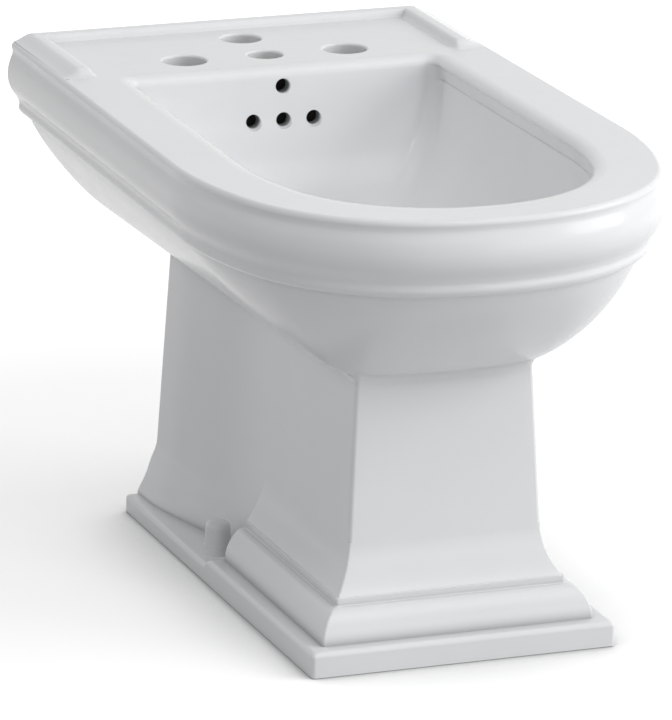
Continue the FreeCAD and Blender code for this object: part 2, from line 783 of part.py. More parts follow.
def waste_body():
    """Flange and threaded body, with overflow slots and a spoked boss for the cartridge."""
    flange = waste_flange_diameter / 2
    thread = waste_thread_diameter / 2
    bore = waste_bore / 2
    dish = waste_dish_diameter / 2
    edge = waste_flange_thickness / 2
    body = turned([(bore, waste_end_z), (thread, waste_end_z), (thread, seal_top_z), (flange, seal_top_z),
                   (flange, seal_top_z + edge), (flange - edge, waste_top_z), (dish, waste_top_z),
                   (bore, waste_top_z - waste_dish)], 0.0, waste_y)
    slot_top = floor_z - china_wall - waste_slot_gap
    for step in range(waste_slots):
        slot = block(-waste_slot_width / 2, waste_slot_width / 2, bore / 2, thread + cut_over,
                     slot_top - waste_slot_height, slot_top)
        slot.rotate(V(0, 0, 0), V(0, 0, 1), waste_slot_turn + 360.0 * step / waste_slots)
        slot.translate(V(0, waste_y, 0))
        body = body.cut(slot)
    boss_top = cartridge_z + cartridge_length - cartridge_collar
    boss_z = boss_top - boss_height
    boss = rod(boss_diameter, boss_z, boss_top, 0.0, waste_y)
    for step in range(spokes):
        spoke = block(-spoke_width / 2, spoke_width / 2, 0.0, blend(bore, thread, 0.5), boss_z, boss_top)
        spoke.rotate(V(0, 0, 0), V(0, 0, 1), 360.0 * step / spokes)
        spoke.translate(V(0, waste_y, 0))
        boss = boss.fuse(spoke)
    boss = boss.cut(rod(cartridge_diameter, boss_z - cut_over, boss_top + cut_over, 0.0, waste_y))
    return body.fuse(boss).removeSplitter()


def waste_seal():
    return ring(seal_diameter, waste_hole_diameter, floor_z, seal_top_z, 0.0, waste_y)


gasket_z = under_floor_z - gasket_thickness
friction_z = gasket_z - friction_ring_thickness
thread_bore = waste_thread_diameter + 2 * thread_clearance


def waste_gasket():
    """A rubber ring that tapers up into the hole in the china."""
    taper = gasket_thickness / 2
    return turned([(thread_bore / 2, gasket_z), (gasket_diameter / 2, gasket_z),
                   (gasket_diameter / 2, gasket_z + taper), (gasket_diameter / 2 - taper, under_floor_z),
                   (thread_bore / 2, under_floor_z)], 0.0, waste_y)


def waste_friction_ring():
    return ring(friction_ring_diameter, thread_bore, friction_z, gasket_z, 0.0, waste_y)


def waste_nut():
    bottom = friction_z - waste_nut_height
    nut = hexagon(waste_nut_width, bottom, friction_z, 0.0, waste_y)
    return nut.cut(rod(thread_bore, bottom - cut_over, friction_z + cut_over, 0.0, waste_y))


def waste_tail():
    """The pipe that hangs under the waste body on a bead."""
    top = waste_end_z + tail_overlap
    pipe = ring(tail_diameter, tail_bore, top - tail_length, top, 0.0, waste_y)
    bead = ring(tail_bead_diameter, tail_bore, waste_end_z - tail_bead_height, waste_end_z, 0.0, waste_y)
    return pipe.fuse(bead).removeSplitter()


def stopper_cap():
    """A domed plug with a skirt that guides it in the waste."""
    radius = stopper_diameter / 2
    skirt = stopper_skirt_diameter / 2
    edge_z = cap_under_z + stopper_edge
    crown = [(radius * wide, edge_z + stopper_dome * high) for wide, high in stopper_dome_shares]
    return turned([(0.0, stem_top_z), (skirt, stem_top_z), (skirt, cap_under_z), (radius, cap_under_z),
                   (radius, edge_z)] + crown, 0.0, waste_y)


def stopper_ring():
    foot = cap_under_z - ring_thickness
    return ring(ring_diameter, stopper_skirt_diameter, foot, cap_under_z, 0.0, waste_y)


def stopper_stem():
    foot = rod(stem_foot_diameter, stem_foot_z, stem_foot_z + stem_foot_height, 0.0, waste_y)
    return rod(stem_diameter, stem_foot_z, stem_top_z, 0.0, waste_y).fuse(foot).removeSplitter()


def stopper_cartridge():
    """A sleeve with a rim that rests on the boss and a collar that guides the stem."""
    top = cartridge_z + cartridge_length
    guide = stem_diameter / 2 + stem_guide_clearance
    bore = cartridge_bore / 2
    outer = cartridge_diameter / 2
    rim = cartridge_rim_diameter / 2
    return turned([(0.0, cartridge_z), (outer, cartridge_z), (outer, top - cartridge_collar),
                   (rim, top - cartridge_collar), (rim, top), (guide, top), (guide, top - cartridge_collar),
                   (bore, top - cartridge_collar), (bore, cartridge_z + cartridge_floor),
                   (0.0, cartridge_z + cartridge_floor)], 0.0, waste_y)


def stopper_spring():
    """A coil spring, drawn pressed down, on the cartridge's floor."""
    radius = (spring_diameter - spring_wire) / 2
    start_z = cartridge_z + cartridge_floor + spring_wire / 2
    sections = []
    for step in range(spring_turns * spring_steps + 1):
        turn = 2 * math.pi * step / spring_steps
        out = V(math.cos(turn), math.sin(turn), 0)
        middle = V(0, waste_y, start_z + spring_pitch * step / spring_steps) + out * radius
        corners = []
        for k in range(spring_sides):
            around = 2 * math.pi * k / spring_sides
            corners.append(middle + out * (spring_wire / 2 * math.cos(around))
                           + V(0, 0, spring_wire / 2 * math.sin(around)))
        sections.append(Part.makePolygon(corners + corners[:1]))
    return loft(sections)


def spray_body():
    """A threaded tube with a flange that clamps on the bowl's floor."""
    flange = spray_flange_diameter / 2
    thread = spray_thread_diameter / 2
    seat = spray_top_z - spray_flange_thickness
    edge = spray_flange_thickness / 2
    section = [(spray_bore / 2, spray_end_z), (thread, spray_end_z), (thread, seat), (flange, seat)]
    section += [(flange, seat + edge), (flange - edge, spray_top_z), (spray_bore / 2, spray_top_z)]
    return turned(section, 0.0, spray_y)


def spray_rose():
    """A domed rose on the flange, with one jet in the middle and a circle of jets."""
    radius = spray_rose_diameter / 2
    top = spray_top_z + spray_rose_height
    inner = radius - spray_rose_wall
    edge = spray_rose_height / 2
    rose = turned([(radius, spray_top_z), (radius, spray_top_z + edge), (radius - edge, top), (0.0, top),
                   (0.0, top - spray_rose_wall), (inner - edge, top - spray_rose_wall),
                   (inner, spray_top_z + edge - spray_rose_wall / 2), (inner, spray_top_z)], 0.0, spray_y)
    jets = [rod(spray_jet_diameter, spray_top_z, top + cut_over, 0.0, spray_y)]
    for step in range(spray_jets):
        turn = 2 * math.pi * step / spray_jets
        x = spray_jet_circle / 2 * math.cos(turn)
        y = spray_y + spray_jet_circle / 2 * math.sin(turn)
        jets.append(rod(spray_jet_diameter, spray_top_z, top + cut_over, x, y))
    return rose.cut(jets)


spray_thread_bore = spray_thread_diameter + 2 * thread_clearance
spray_under_z = floor_z - china_wall
spray_washer_z = spray_under_z - spray_gasket_thickness - spray_washer_thickness


def spray_ring(z0, z1):
    return ring(spray_gasket_diameter, spray_thread_bore, z0, z1, 0.0, spray_y)


def spray_seal():
    return spray_ring(floor_z, floor_z + spray_seal_thickness)


def spray_gasket():
    return spray_ring(spray_under_z - spray_gasket_thickness, spray_under_z)


def spray_washer():
    return spray_ring(spray_washer_z, spray_washer_z + spray_washer_thickness)


def spray_nut():
    bottom = spray_washer_z - spray_nut_height
    nut = hexagon(spray_nut_width, bottom, spray_washer_z, 0.0, spray_y)
    bore = rod(spray_thread_bore, bottom - cut_over, spray_washer_z + cut_over, 0.0, spray_y)
    return nut.cut(bore)


def spray_union_nut():
    """A nut on the spray's lower end that pulls the inlet tail's flange up against it."""
    flange_z = spray_end_z - inlet_flange_thickness
    bottom = flange_z - union_nut_web
    top = spray_end_z + union_nut_engagement
    nut = hexagon(union_nut_width, bottom, top, 0.0, spray_y)
    nut = nut.cut(rod(spray_thread_bore, flange_z, top + cut_over, 0.0, spray_y))
    web_bore = inlet_neck_diameter + 2 * thread_clearance
    return nut.cut(rod(web_bore, bottom - cut_over, flange_z + cut_over, 0.0, spray_y))


def spray_inlet_tail():
    """A pipe with a flange at its top and a thicker neck inside the union nut."""
    top = spray_end_z
    neck_z = top - inlet_flange_thickness - union_nut_web
    flange_z = top - inlet_flange_thickness
    flange = ring(inlet_flange_diameter, inlet_tail_bore, flange_z, top, 0.0, spray_y)
    neck = ring(inlet_neck_diameter, inlet_tail_bore, neck_z, top, 0.0, spray_y)
    pipe = ring(inlet_tail_diameter, inlet_tail_bore, top - inlet_tail_length, top, 0.0, spray_y)
    return flange.fuse([neck, pipe]).removeSplitter()


def pair(make):
    return Part.makeCompound([make(-1), make(1)])


nodes = {
    "china_body": china_body(),
    "bolt_caps": pair(bolt_cap),
    "cap_bases": pair(cap_base),
    "floor_bolts": pair(floor_bolt),
    "bolt_washers": pair(bolt_washer),
    "bolt_nuts": pair(bolt_nut),
    "waste_body": waste_body(),
    "waste_seal": waste_seal(),
    "waste_gasket": waste_gasket(),
    "waste_friction_ring": waste_friction_ring(),
    "waste_nut": waste_nut(),
    "waste_tail": waste_tail(),
    "stopper_cartridge": stopper_cartridge(),
    "stopper_spring": stopper_spring(),
    "stopper_cap": stopper_cap(),
    "stopper_stem": stopper_stem(),
    "stopper_ring": stopper_ring(),
    "spray_rose": spray_rose(),
    "spray_body": spray_body(),
    "spray_seal": spray_seal(),
    "spray_gasket": spray_gasket(),
    "spray_washer": spray_washer(),
    "spray_nut": spray_nut(),
    "spray_union_nut": spray_union_nut(),
    "spray_inlet_tail": spray_inlet_tail(),
}
for name, shape in nodes.items():
    shape.exportStep("parts/" + name + ".step")
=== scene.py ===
import math

import bmesh
import bpy
from mathutils import Matrix, Vector


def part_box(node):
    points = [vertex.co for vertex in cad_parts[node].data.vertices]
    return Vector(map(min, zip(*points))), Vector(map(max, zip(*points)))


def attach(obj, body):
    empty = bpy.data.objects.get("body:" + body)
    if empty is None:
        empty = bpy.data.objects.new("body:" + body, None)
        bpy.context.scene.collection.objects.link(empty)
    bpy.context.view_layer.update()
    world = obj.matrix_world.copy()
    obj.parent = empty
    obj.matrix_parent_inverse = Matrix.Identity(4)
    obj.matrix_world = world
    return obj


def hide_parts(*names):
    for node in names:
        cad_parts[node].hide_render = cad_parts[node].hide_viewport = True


bl_info = {
    "name": "Pedestal Bidet",
    "version": (1, 0, 0),
    "blender": (4, 5, 0),
    "location": "View3D > Sidebar > Bidet",
    "description": "Builds a floor-standing bidet of glazed china on its packed frame",
    "category": "Add Mesh",
}

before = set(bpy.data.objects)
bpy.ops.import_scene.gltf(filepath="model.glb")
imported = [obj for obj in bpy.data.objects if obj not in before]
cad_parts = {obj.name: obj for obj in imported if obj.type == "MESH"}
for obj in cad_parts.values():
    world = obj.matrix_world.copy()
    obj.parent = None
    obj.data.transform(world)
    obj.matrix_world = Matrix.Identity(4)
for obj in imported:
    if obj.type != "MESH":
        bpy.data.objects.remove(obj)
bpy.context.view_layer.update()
fixed_body = "fixture"
stopper_body = "stopper"

MM = 0.001
weld = 1e-7

# Plans of the china: tip and side radii as shares of the half width, the tip's and the
# shoulder's turns in degrees, and the taper of the flanks in degrees
rim_shape = (1.27, 1.82, 14.0, 57.0, 0.7)
belly_shape = (3.6, 3.6, 11.0, 74.0, -1.6)
bowl_shape = (1.26, 1.97, 6.0, 65.5, 0.55)

# Steps in each stretch of a plan, from the tip back: tip, shoulder, side and flank
plan_steps = (8, 22, 14, 14)
bowl_steps = (6, 22, 14, 12)
rear_steps = 24

# Moulding down the rim, and the hollow behind it going up: how far each point stands out and how
# far it is below the deck, in mm
rim_moulding = [(0.0, 4.0), (-0.7, 6.4), (-0.9, 9.2), (0.3, 12.6), (1.8, 16.6), (2.8, 20.9), (3.2, 25.5),
                (2.9, 30.0), (1.9, 34.5), (0.2, 38.5), (-2.2, 42.3), (-4.3, 45.2), (-5.7, 47.8),
                (-6.5, 50.0), (-6.5, 51.8), (-6.2, 54.0), (-6.6, 56.2), (-7.9, 58.3), (-9.9, 60.0),
                (-12.6, 61.0)]
hollow_side = [(-23.0, 61.0), (-16.0, 49.9), (-9.5, 38.0), (-8.5, 28.0), (-11.0, 12.0)]

# The bowl's edge at its sides and front, in mm: how far down each point is and how far out
bowl_nose = [(0.0, 9.0), (0.12, 7.0), (0.4, 4.6), (0.85, 2.4), (1.5, 0.6), (2.3, -0.8), (3.2, -1.7),
             (4.2, -2.3), (5.3, -2.5), (6.3, -2.3), (7.1, -1.7), (7.8, -1.0), (8.6, -0.4)]

# The band under that edge, in mm: how far each point is above the band's foot and how far out,
# then the step that the foot leaves and the depth over which the step fades
bowl_band = [(9.9, -0.1), (8.0, 0.4), (5.0, 1.0), (2.4, 1.5), (1.2, 1.6), (0.6, 1.5), (0.2, 1.15), (0.0, 0.7)]
band_step = 0.7 * MM
band_fade = 34 * MM

# How far the pier has swollen along the pedestal's side, and up its flared foot
side_swell = [(0.0, 0.0), (0.2, 0.07), (0.35, 0.25), (0.5, 0.52), (0.65, 0.76), (0.8, 0.95), (1.0, 1.0)]
foot_flare = [(0.0, 1.0), (0.22, 0.74), (0.4, 0.52), (0.62, 0.33), (0.82, 0.1), (1.0, 0.0)]

# The lip in section, in mm: distance in from its outer foot at the sides, the same along
# the back, and height above the deck
lip_section = [(0.0, 0.0, 0.0), (3.4, 0.0, 1.0), (7.4, 0.0, 3.1), (11.2, 0.4, 5.1), (13.4, 1.2, 5.8),
               (15.2, 2.4, 6.0), (19.0, 6.0, 6.0), (21.2, 8.2, 5.9), (22.6, 9.6, 5.2), (23.8, 10.8, 3.6),
               (25.0, 12.0, 1.8), (26.6, 13.4, 0.5), (29.0, 15.6, -0.6), (29.0, 15.6, -6.0), (8.0, 8.0, -6.0)]

# Overflow holes, in mm: how far to the side, how far below the deck and how far the wall leans
# in there; and their flared mouths: how far back each ring is and how much wider it is
overflow_places = [(0.0, 16.0, 0.0), (-25.3, 42.6, 2.4), (0.0, 42.6, 2.4), (25.3, 42.6, 2.4)]
overflow_mouth = [(-6.0, 1.5), (-0.35, 1.5), (0.0, 1.05), (0.4, 0.6), (0.9, 0.28), (1.6, 0.07), (2.4, 0.0),
                  (13.5, 0.0)]

# Distances from the china's wall side, in metres
breaker_place = 0.044
tap_place = 0.1005
plinth_rear_place = 0.1185
floor_rear_place = 0.240
bolt_place = 0.283
waste_place = 0.285
moulding_place = 0.3165
spray_place = 0.372
floor_front_place = 0.425
plinth_front_place = 0.550

# The bowl's floor and corners, and the holes in the floor, in metres
floor_half = 0.034
opening_corner = 0.009
floor_corner = 0.028
waste_hole = 46 * MM
spray_hole = 26 * MM

# The pedestal, in metres: the heights of its rings, its corners' radius, the height of the column's
# foot, how far the column is inset there and under the belly, the pier's half widths, the height of
# its flare, and how far the bolts are from the middle
shaft_heights = [0.0095, 0.0145, 0.017, 0.020, 0.0235, 0.0275, 0.032, 0.037, 0.0425, 0.048, 0.053, 0.058,
                 0.066, 0.080, 0.100, 0.130, 0.160, 0.190]
shaft_corner = 0.003
column_foot_z = 0.0882
column_foot_inset = 0.0445
column_top_inset = 0.051
pier_foot_half = 0.111
pier_waist_half = 0.0945
pier_top_half = 0.084
flare_height = 0.044
bolt_spread = 0.1013

# The belly: its inset under the rim, in metres, and the power that shapes its swell
belly_inset = 14.5 * MM
belly_swell = 1.2

# Rounded edges of the plinth, in metres, and the rise of a quarter arc over its chord as a share
# of its radius
plinth_round = 4 * MM
plinth_foot_round = 0.8 * MM
quarter_rise = 0.2929

# Finishes: the colour, its shade in the clouds, turns per metre of the clouds and of the grain,
# the least and the greatest roughness, the unevenness, and 1 for a metal
finishes = {
    "white_glaze": ("glaze", 0.975, 9.0, 55.0, 0.18, 0.24, 0.03, 0.0),
    "bare_china": ("bisque", 0.88, 30.0, 700.0, 0.70, 0.92, 0.5, 0.0),
    "cap_plastic": ("cap", 0.97, 40.0, 900.0, 0.22, 0.32, 0.06, 0.0),
    "base_plastic": ("cap", 0.94, 40.0, 900.0, 0.4, 0.55, 0.12, 0.0),
    "zinc_plating": ("zinc", 0.8, 90.0, 1200.0, 0.25, 0.45, 0.12, 1.0),
    "spring_wire": ("zinc", 0.9, 90.0, 1500.0, 0.18, 0.3, 0.05, 1.0),
    "ring_compound": ("rubber", 0.7, 60.0, 800.0, 0.5, 0.7, 0.2, 0.0),
    "seal_compound": ("rubber", 0.7, 60.0, 800.0, 0.5, 0.75, 0.25, 0.0),
    "nylon": ("nylon", 0.92, 50.0, 900.0, 0.38, 0.55, 0.12, 0.0),
    # The overflow channel's inside: bisque darkened to stand in for the shade deep in it, as painted shade
    "channel_lining": ("bisque", 0.6, 60.0, 500.0, 0.6, 0.8, 0.3, 0.0),
    "studio_floor": ("floor", 0.995, 3.0, 200.0, 0.75, 0.85, 0.02, 0.0),
}

# Turned metals: the colour, its shade, the least and the greatest roughness, and the marks' depth
turned_finishes = {
    "cap_plating": ("chrome", 0.97, 0.05, 0.10, 0.03),
    "stem_metal": ("brass", 0.85, 0.22, 0.36, 0.25),
    "waste_plating": ("chrome", 0.96, 0.06, 0.13, 0.05),
    "waste_brass": ("brass", 0.82, 0.22, 0.38, 0.3),
    "spray_plating": ("chrome", 0.96, 0.06, 0.13, 0.05),
    "spray_brass": ("brass", 0.82, 0.22, 0.38, 0.3),
}
turned_clouds = 60.0
turned_grain = 900.0
turned_unevenness = 0.02

# The glaze's gloss, and the shade painted into its colour in hollows: the reach in metres, the openness
# between which the painted shade sets in, and the share of the colour left in the deepest
glaze_ior = 1.32
glaze_coat = 0.12
glaze_coat_roughness = 0.04
painted_shade_reach = 0.024
painted_shade_openness = (0.25, 0.88)
painted_hollow_shade = 0.35

# Share of the bisque's colour kept inside the overflow channel, darkened there as painted shade
channel_shade_share = 0.16

# The floor: half its side and its drop under the bidet, in metres, and its colour to soft light
floor_reach = 40.0
floor_drop = 0.0003
floor_bounce = (0.55, 0.55, 0.555)

# The floor's own light, which keeps it white and is dimmed near the bidet by a painted contact shadow: the
# reach of that painted shadow, in metres, then how strong the light is near the bidet and over which openness
# it sets in, and how strong it is far away and over which distances
painted_shadow_reach = 0.16
near_light = 0.575
painted_shadow_openness = (0.47, 0.90)
far_light = 0.35
far_distances = (0.55, 1.6)

# Lamps: where each stands and what it is aimed at, its size in metres and its power in watts
lamps = {
    "key_lamp": ((3.5, -1.8, 1.8), (0.0, 0.0, 0.2), (2.6, 2.4), 83.0),
    "high_lamp": ((0.9, -2.3, 3.3), (0.0, 0.0, 0.2), (2.0, 1.6), 18.0),
    "side_lamp": ((-3.3, 0.5, 1.1), (0.0, 0.0, 0.15), (2.0, 1.6), 3.5),
    "rear_lamp": ((-0.9, -0.3, 3.6), (0.0, 0.0, 0.2), (1.8, 1.6), 11.0),
    "glint_lamp": ((0.5, -3.2, 3.4), (0.0, 0.0, 0.2), (0.4, 0.4), 5.0),
    "low_lamp": ((1.2, -2.3, 0.5), (0.0, -0.2, 0.05), (1.4, 0.7), 4.0),
}
air_light = 0.387

# The camera's sensor in mm, and its clipping distances in metres
sensor_width = 36.0
clip_near = 0.5
clip_far = 60.0


def number_property(name, description, default, unit="NONE"):
    return bpy.props.FloatProperty(name=name, description=description, default=default, unit=unit)


def size_property(name, description, default):
    return number_property(name, description, default, "LENGTH")


def colour_property(name, description, default):
    return bpy.props.FloatVectorProperty(name=name, description=description, default=default, size=3,
                                         subtype="COLOR", min=0.0, max=1.0)


class BidetSizes(bpy.types.PropertyGroup):
    """Sizes of the china and of its fittings"""

    length: size_property("Length", "From the wall side to the front of the rim", 0.622)
    deck_height: size_property("Deck height", "From the floor to the deck", 0.362)
    rim_half_width: size_property("Rim half width", "Half of the width of the flat rim", 0.1835)
    rim_bulge: size_property("Rim bulge", "How far the moulding stands out past the rim", 0.0032)
    rim_height: size_property("Rim height", "Height of the moulded rim", 0.061)
    belly_depth: size_property("Belly depth", "Height of the belly under the rim", 0.085)
    belly_half: size_property("Belly half width", "Half width of the belly's foot", 0.082)
    overhang: size_property("Overhang", "How far the belly's foot passes the column", 0.012)
    junction_radius: size_property("Junction radius", "Hollow where belly meets column", 0.0095)
    wall: size_property("Wall", "Thickness of the china", 0.010)
    deck_thickness: size_property("Deck thickness", "Thickness of the deck", 0.012)
    bowl_half: size_property("Bowl half width", "Half of the width of the bowl", 0.1328)
    bowl_rear: size_property("Bowl rear", "From the wall side to the bowl's rear wall", 0.143)
    bowl_front: size_property("Bowl front", "From the wall side to the bowl's front", 0.5775)
    bowl_edge: size_property("Bowl edge", "Radius of the bowl's upper edge", 0.009)
    bowl_collar: size_property("Bowl collar", "Height of the upright band in the bowl", 0.010)
    bowl_depth: size_property("Bowl depth", "From the deck to the bowl's floor", 0.126)
    tap_spacing: size_property("Tap spacing", "Between the two tap holes", 0.135)
    tap_hole: size_property("Tap hole", "Diameter of a tap hole", 0.035)
    diverter_hole: size_property("Diverter hole", "Diameter of the middle front hole", 0.028)
    breaker_hole: size_property("Breaker hole", "Diameter of the middle rear hole", 0.032)
    overflow_hole: size_property("Overflow hole", "Diameter of an overflow hole", 0.0112)
    plinth_half: size_property("Plinth half width", "Half of the width of the plinth", 0.1215)
    slab_height: size_property("Slab height", "Height of the plinth's slab", 0.0195)
    ledge_height: size_property("Ledge height", "Height of the ledge for the bolts", 0.014)


class BidetFinish(bpy.types.PropertyGroup):
    """Colours of the bidet"""

    glaze: colour_property("Glaze", "Colour of the glazed china", (0.905, 0.911, 0.925))
    bisque: colour_property("Bisque", "Colour of the bare china inside", (0.66, 0.63, 0.58))
    cap: colour_property("Bolt cap", "Colour of the moulded caps", (0.80, 0.81, 0.83))
    chrome: colour_property("Chrome", "Colour of the plated brass", (0.60, 0.61, 0.63))
    brass: colour_property("Brass", "Colour of the machined brass", (0.58, 0.41, 0.17))
    zinc: colour_property("Zinc", "Colour of the plated steel", (0.50, 0.51, 0.53))
    rubber: colour_property("Rubber", "Colour of the seals", (0.030, 0.030, 0.033))
    nylon: colour_property("Nylon", "Colour of the moulded rings", (0.62, 0.61, 0.56))


class BidetStage(bpy.types.PropertyGroup):
    """The floor, the lamps and the camera"""

    floor: colour_property("Floor", "Colour of the floor", (0.62, 0.62, 0.62))
    azimuth: number_property("Azimuth", "Camera's turn round the bidet, in degrees", -20.75)
    elevation: number_property("Elevation", "Camera's height angle, in degrees", 16.44)
    roll: number_property("Roll", "Camera's tilt to the side, in degrees", 0.82)
    lens: number_property("Lens", "Camera's focal length, in mm", 325.0)
    place: bpy.props.FloatVectorProperty(name="Place", description="Where the camera stands", size=3,
                                         subtype="XYZ", default=(-1.71903, -4.49563, 1.58839), unit="LENGTH")


def blend(a, b, share):
    return a + (b - a) * share


def eased(share):
    return share * share * (3 - 2 * share)


def quarter(steps, first=0):
    """The sine and cosine at each step of a quarter turn."""
    turns = [math.radians(90.0) * step / steps for step in range(first, steps + 1)]
    return [(math.sin(turn), math.cos(turn)) for turn in turns]


def smooth_value(table, share):
    """Reads a table of shares as a smooth curve through its points."""
    for k in range(len(table) - 1):
        (low, a), (high, b) = table[k], table[k + 1]
        if share <= high or k == len(table) - 2:
            before = table[k - 1] if k > 0 else (low, a)
            after = table[k + 2] if k + 2 < len(table) else (high, b)
            span = high - low
            rise_a = (b - before[1]) / (high - before[0]) * span if k > 0 else 0.0
            rise_b = (after[1] - a) / (after[0] - low) * span if k + 2 < len(table) else 0.0
            t = min(max((share - low) / span, 0.0), 1.0)
            return ((2 * t ** 3 - 3 * t ** 2 + 1) * a + (t ** 3 - 2 * t ** 2 + t) * rise_a
                    + (3 * t ** 2 - 2 * t ** 3) * b + (t ** 3 - t ** 2) * rise_b)


def smooth_line(points, steps):
    """A finer line through the points, smooth at each of them."""
    line = []
    for k in range(len(points) - 1):
        a = Vector(points[max(k - 1, 0)])
        b, c = Vector(points[k]), Vector(points[k + 1])
        d = Vector(points[min(k + 2, len(points) - 1)])
        for step in range(steps):
            t = step / steps
            line.append(0.5 * ((2 * b) + (c - a) * t + (2 * a - 5 * b + 4 * c - d) * t * t
                               + (3 * b - a - 3 * c + d) * t ** 3))
    line.append(Vector(points[-1]))
    return [tuple(point) for point in line]


def softened(points, radius, steps=4):
    """The line through the points with each inner corner rounded."""
    most = 0.45
    line = [points[0]]
    for a, b, c in zip(points, points[1:], points[2:]):
        a, b, c = Vector(a), Vector(b), Vector(c)
        reach = min(radius, (a - b).length * most, (c - b).length * most)
        start = b + (a - b).normalized() * reach
        end = b + (c - b).normalized() * reach
        for step in range(steps + 1):
            t = step / steps
            line.append(tuple(start * (1 - t) ** 2 + b * 2 * t * (1 - t) + end * t * t))
    line.append(points[-1])
    return line


def arc_between(start, end, swell, steps=10):
    """Points on an arc from start to end that stands out by swell towards smaller insets."""
    a, b = Vector(start), Vector(end)
    along = b - a
    side = Vector((-along.y, along.x)).normalized()
    half = along.length / 2
    radius = (half * half + swell * swell) / (2 * abs(swell))
    centre = (a + b) / 2 + side * (swell - math.copysign(radius, swell))
    first = math.atan2(*(a - centre).yx)
    last = math.atan2(*(b - centre).yx)
    turn = (last - first + math.pi) % (2 * math.pi) - math.pi
    angles = [first + turn * k / steps for k in range(steps + 1)]
    return [tuple(centre + radius * Vector((math.cos(angle), math.sin(angle)))) for angle in angles]


def bends(half, front, shape):
    """The arcs of a D-shaped plan on its right side, from the tip back."""
    tip_share, side_share, tip_turn, shoulder_turn, taper = shape
    first = math.radians(tip_turn)
    second = math.radians(tip_turn + shoulder_turn)
    last = math.radians(90.0 - taper)
    tip = half * tip_share
    flank = half * side_share
    spread = math.sin(second) - math.sin(first)
    shoulder = (half - tip * math.sin(first) - flank * (math.sin(last) - math.sin(second))) / spread
    x, y = 0.0, front + tip
    arcs = [(x, y, tip, 0.0, first)]
    for radius, start, end in ((shoulder, first, second), (flank, second, last)):
        shift = arcs[-1][2] - radius
        x, y = x + shift * math.sin(start), y - shift * math.cos(start)
        arcs.append((x, y, radius, start, end))
    return arcs


def half_plan(half, front, shape, rear, outset, counts):
    """Points on the right side of a D-shaped plan, from the tip to the rear end of its flank."""
    points = []
    for (x, y, radius, start, end), count in zip(bends(half, front, shape), counts):
        for step in range(count):
            angle = blend(start, end, step / count)
            points.append((x + (radius + outset) * math.sin(angle), y - (radius + outset) * math.cos(angle)))
    foot = (x + (radius + outset) * math.sin(end), y - (radius + outset) * math.cos(end))
    taper = math.tan(math.radians(shape[-1]))
    for step in range(counts[-1] + 1):
        y = blend(foot[1], rear, step / counts[-1])
        points.append((foot[0] - (y - foot[1]) * taper, y))
    return points


def both_sides(right):
    """A line from the left rear end round the tip to the right rear end."""
    return [(-x, y) for x, y in reversed(right[1:])] + right


def closed_plan(half, front, shape, rear, outset=0.0, corner=0.0, counts=plan_steps, corner_steps=8):
    """A closed D-shaped loop with a straight back and rounded rear corners if asked."""
    right = half_plan(half, front, shape, rear - corner, outset, counts)
    x, y = right[-1]
    if corner > 0:
        right += [(x - corner * (1 - cosine), y + corner * sine) for sine, cosine in quarter(corner_steps, 1)]
    end = right[-1][0]
    return both_sides(right) + [(blend(end, -end, step / rear_steps), rear) for step in range(1, rear_steps)]


def front_corner(half, front, corner, steps):
    """The right half of a straight front, round its corner."""
    flat = [(half * step / steps, front) for step in range(steps)]
    return flat + [(half - corner + corner * sine, front + corner - corner * cosine)
                   for sine, cosine in quarter(6)]


def at_height(points, z):
    return [(x, y, z) for x, y in points]


def circle(x, y, radius, z, steps=64):
    return [(x + radius * math.cos(2 * math.pi * k / steps), y + radius * math.sin(2 * math.pi * k / steps), z)
            for k in range(steps)]


def there_and_back(outer, inner):
    """One loop that goes along the outer line and returns along the inner one."""
    return outer + list(reversed(inner))


def sweep(bm, rings, inner_from=None, material=0, inner_material=1):
    """Carries a loop of edges through the rings of points by extruding it; gives its first and last loops."""
    count = len(rings[0])
    verts = bmesh.ops.create_circle(bm, segments=count, radius=1.0)["verts"]
    verts.sort(key=lambda vert: math.atan2(vert.co.y, vert.co.x))
    for vert, point in zip(verts, rings[0]):
        vert.co = point
    place = {vert: k for k, vert in enumerate(verts)}
    first = [bm.edges.get((verts[k], verts[(k + 1) % count])) for k in range(count)]
    loop = first
    for ring in rings[1:]:
        made = bmesh.ops.extrude_edge_only(bm, edges=loop)["geom"]
        moved = {}
        for vert in (item for item in made if isinstance(item, bmesh.types.BMVert)):
            others = (edge.other_vert(vert) for edge in vert.link_edges)
            moved[vert] = place[next(other for other in others if other in place)]
            vert.co = ring[moved[vert]]
        spots = {**place, **moved}
        for face in (item for item in made if isinstance(item, bmesh.types.BMFace)):
            inside = inner_from is not None and all(spots[vert] >= inner_from for vert in face.verts)
            face.material_index = inner_material if inside else material
        loop = [item for item in made
                if isinstance(item, bmesh.types.BMEdge) and all(vert in moved for vert in item.verts)]
        place = moved
    return first, loop


def capped(bm, rings, **options):
    """Sweeps the rings and closes both ends; gives the closing faces."""
    faces = []
    for loop in sweep(bm, rings, **options):
        faces += bmesh.ops.edgeloop_fill(bm, edges=loop)["faces"]
    return faces


def fill(bm, loops, material=0):
    """Fills the flat region between the loops of edges."""
    edges = [edge for loop in loops for edge in loop]
    made = bmesh.ops.triangle_fill(bm, use_beauty=True, use_dissolve=False, edges=edges,
                                   normal=(0.0, 0.0, 1.0))
    for face in (item for item in made["geom"] if isinstance(item, bmesh.types.BMFace)):
        face.material_index = material


def turned(bm, section, x, y, steps=72):
    """Spins a section of radii and heights round an upright line."""
    verts = [bmesh.ops.create_vert(bm, co=(x + radius, y, z))["vert"][0] for radius, z in section]
    edges = [bm.edges.new(pair) for pair in zip(verts, verts[1:])]
    bmesh.ops.spin(bm, geom=verts + edges, cent=(x, y, 0.0), axis=(0.0, 0.0, 1.0), dvec=(0.0, 0.0, 0.0),
                   angle=2 * math.pi, steps=steps, use_merge=True, use_duplicate=False)
    bmesh.ops.remove_doubles(bm, verts=bm.verts, dist=weld)


def mesh_of(bm, name):
    mesh = bpy.data.meshes.new(name)
    bm.to_mesh(mesh)
    bm.free()
    return mesh


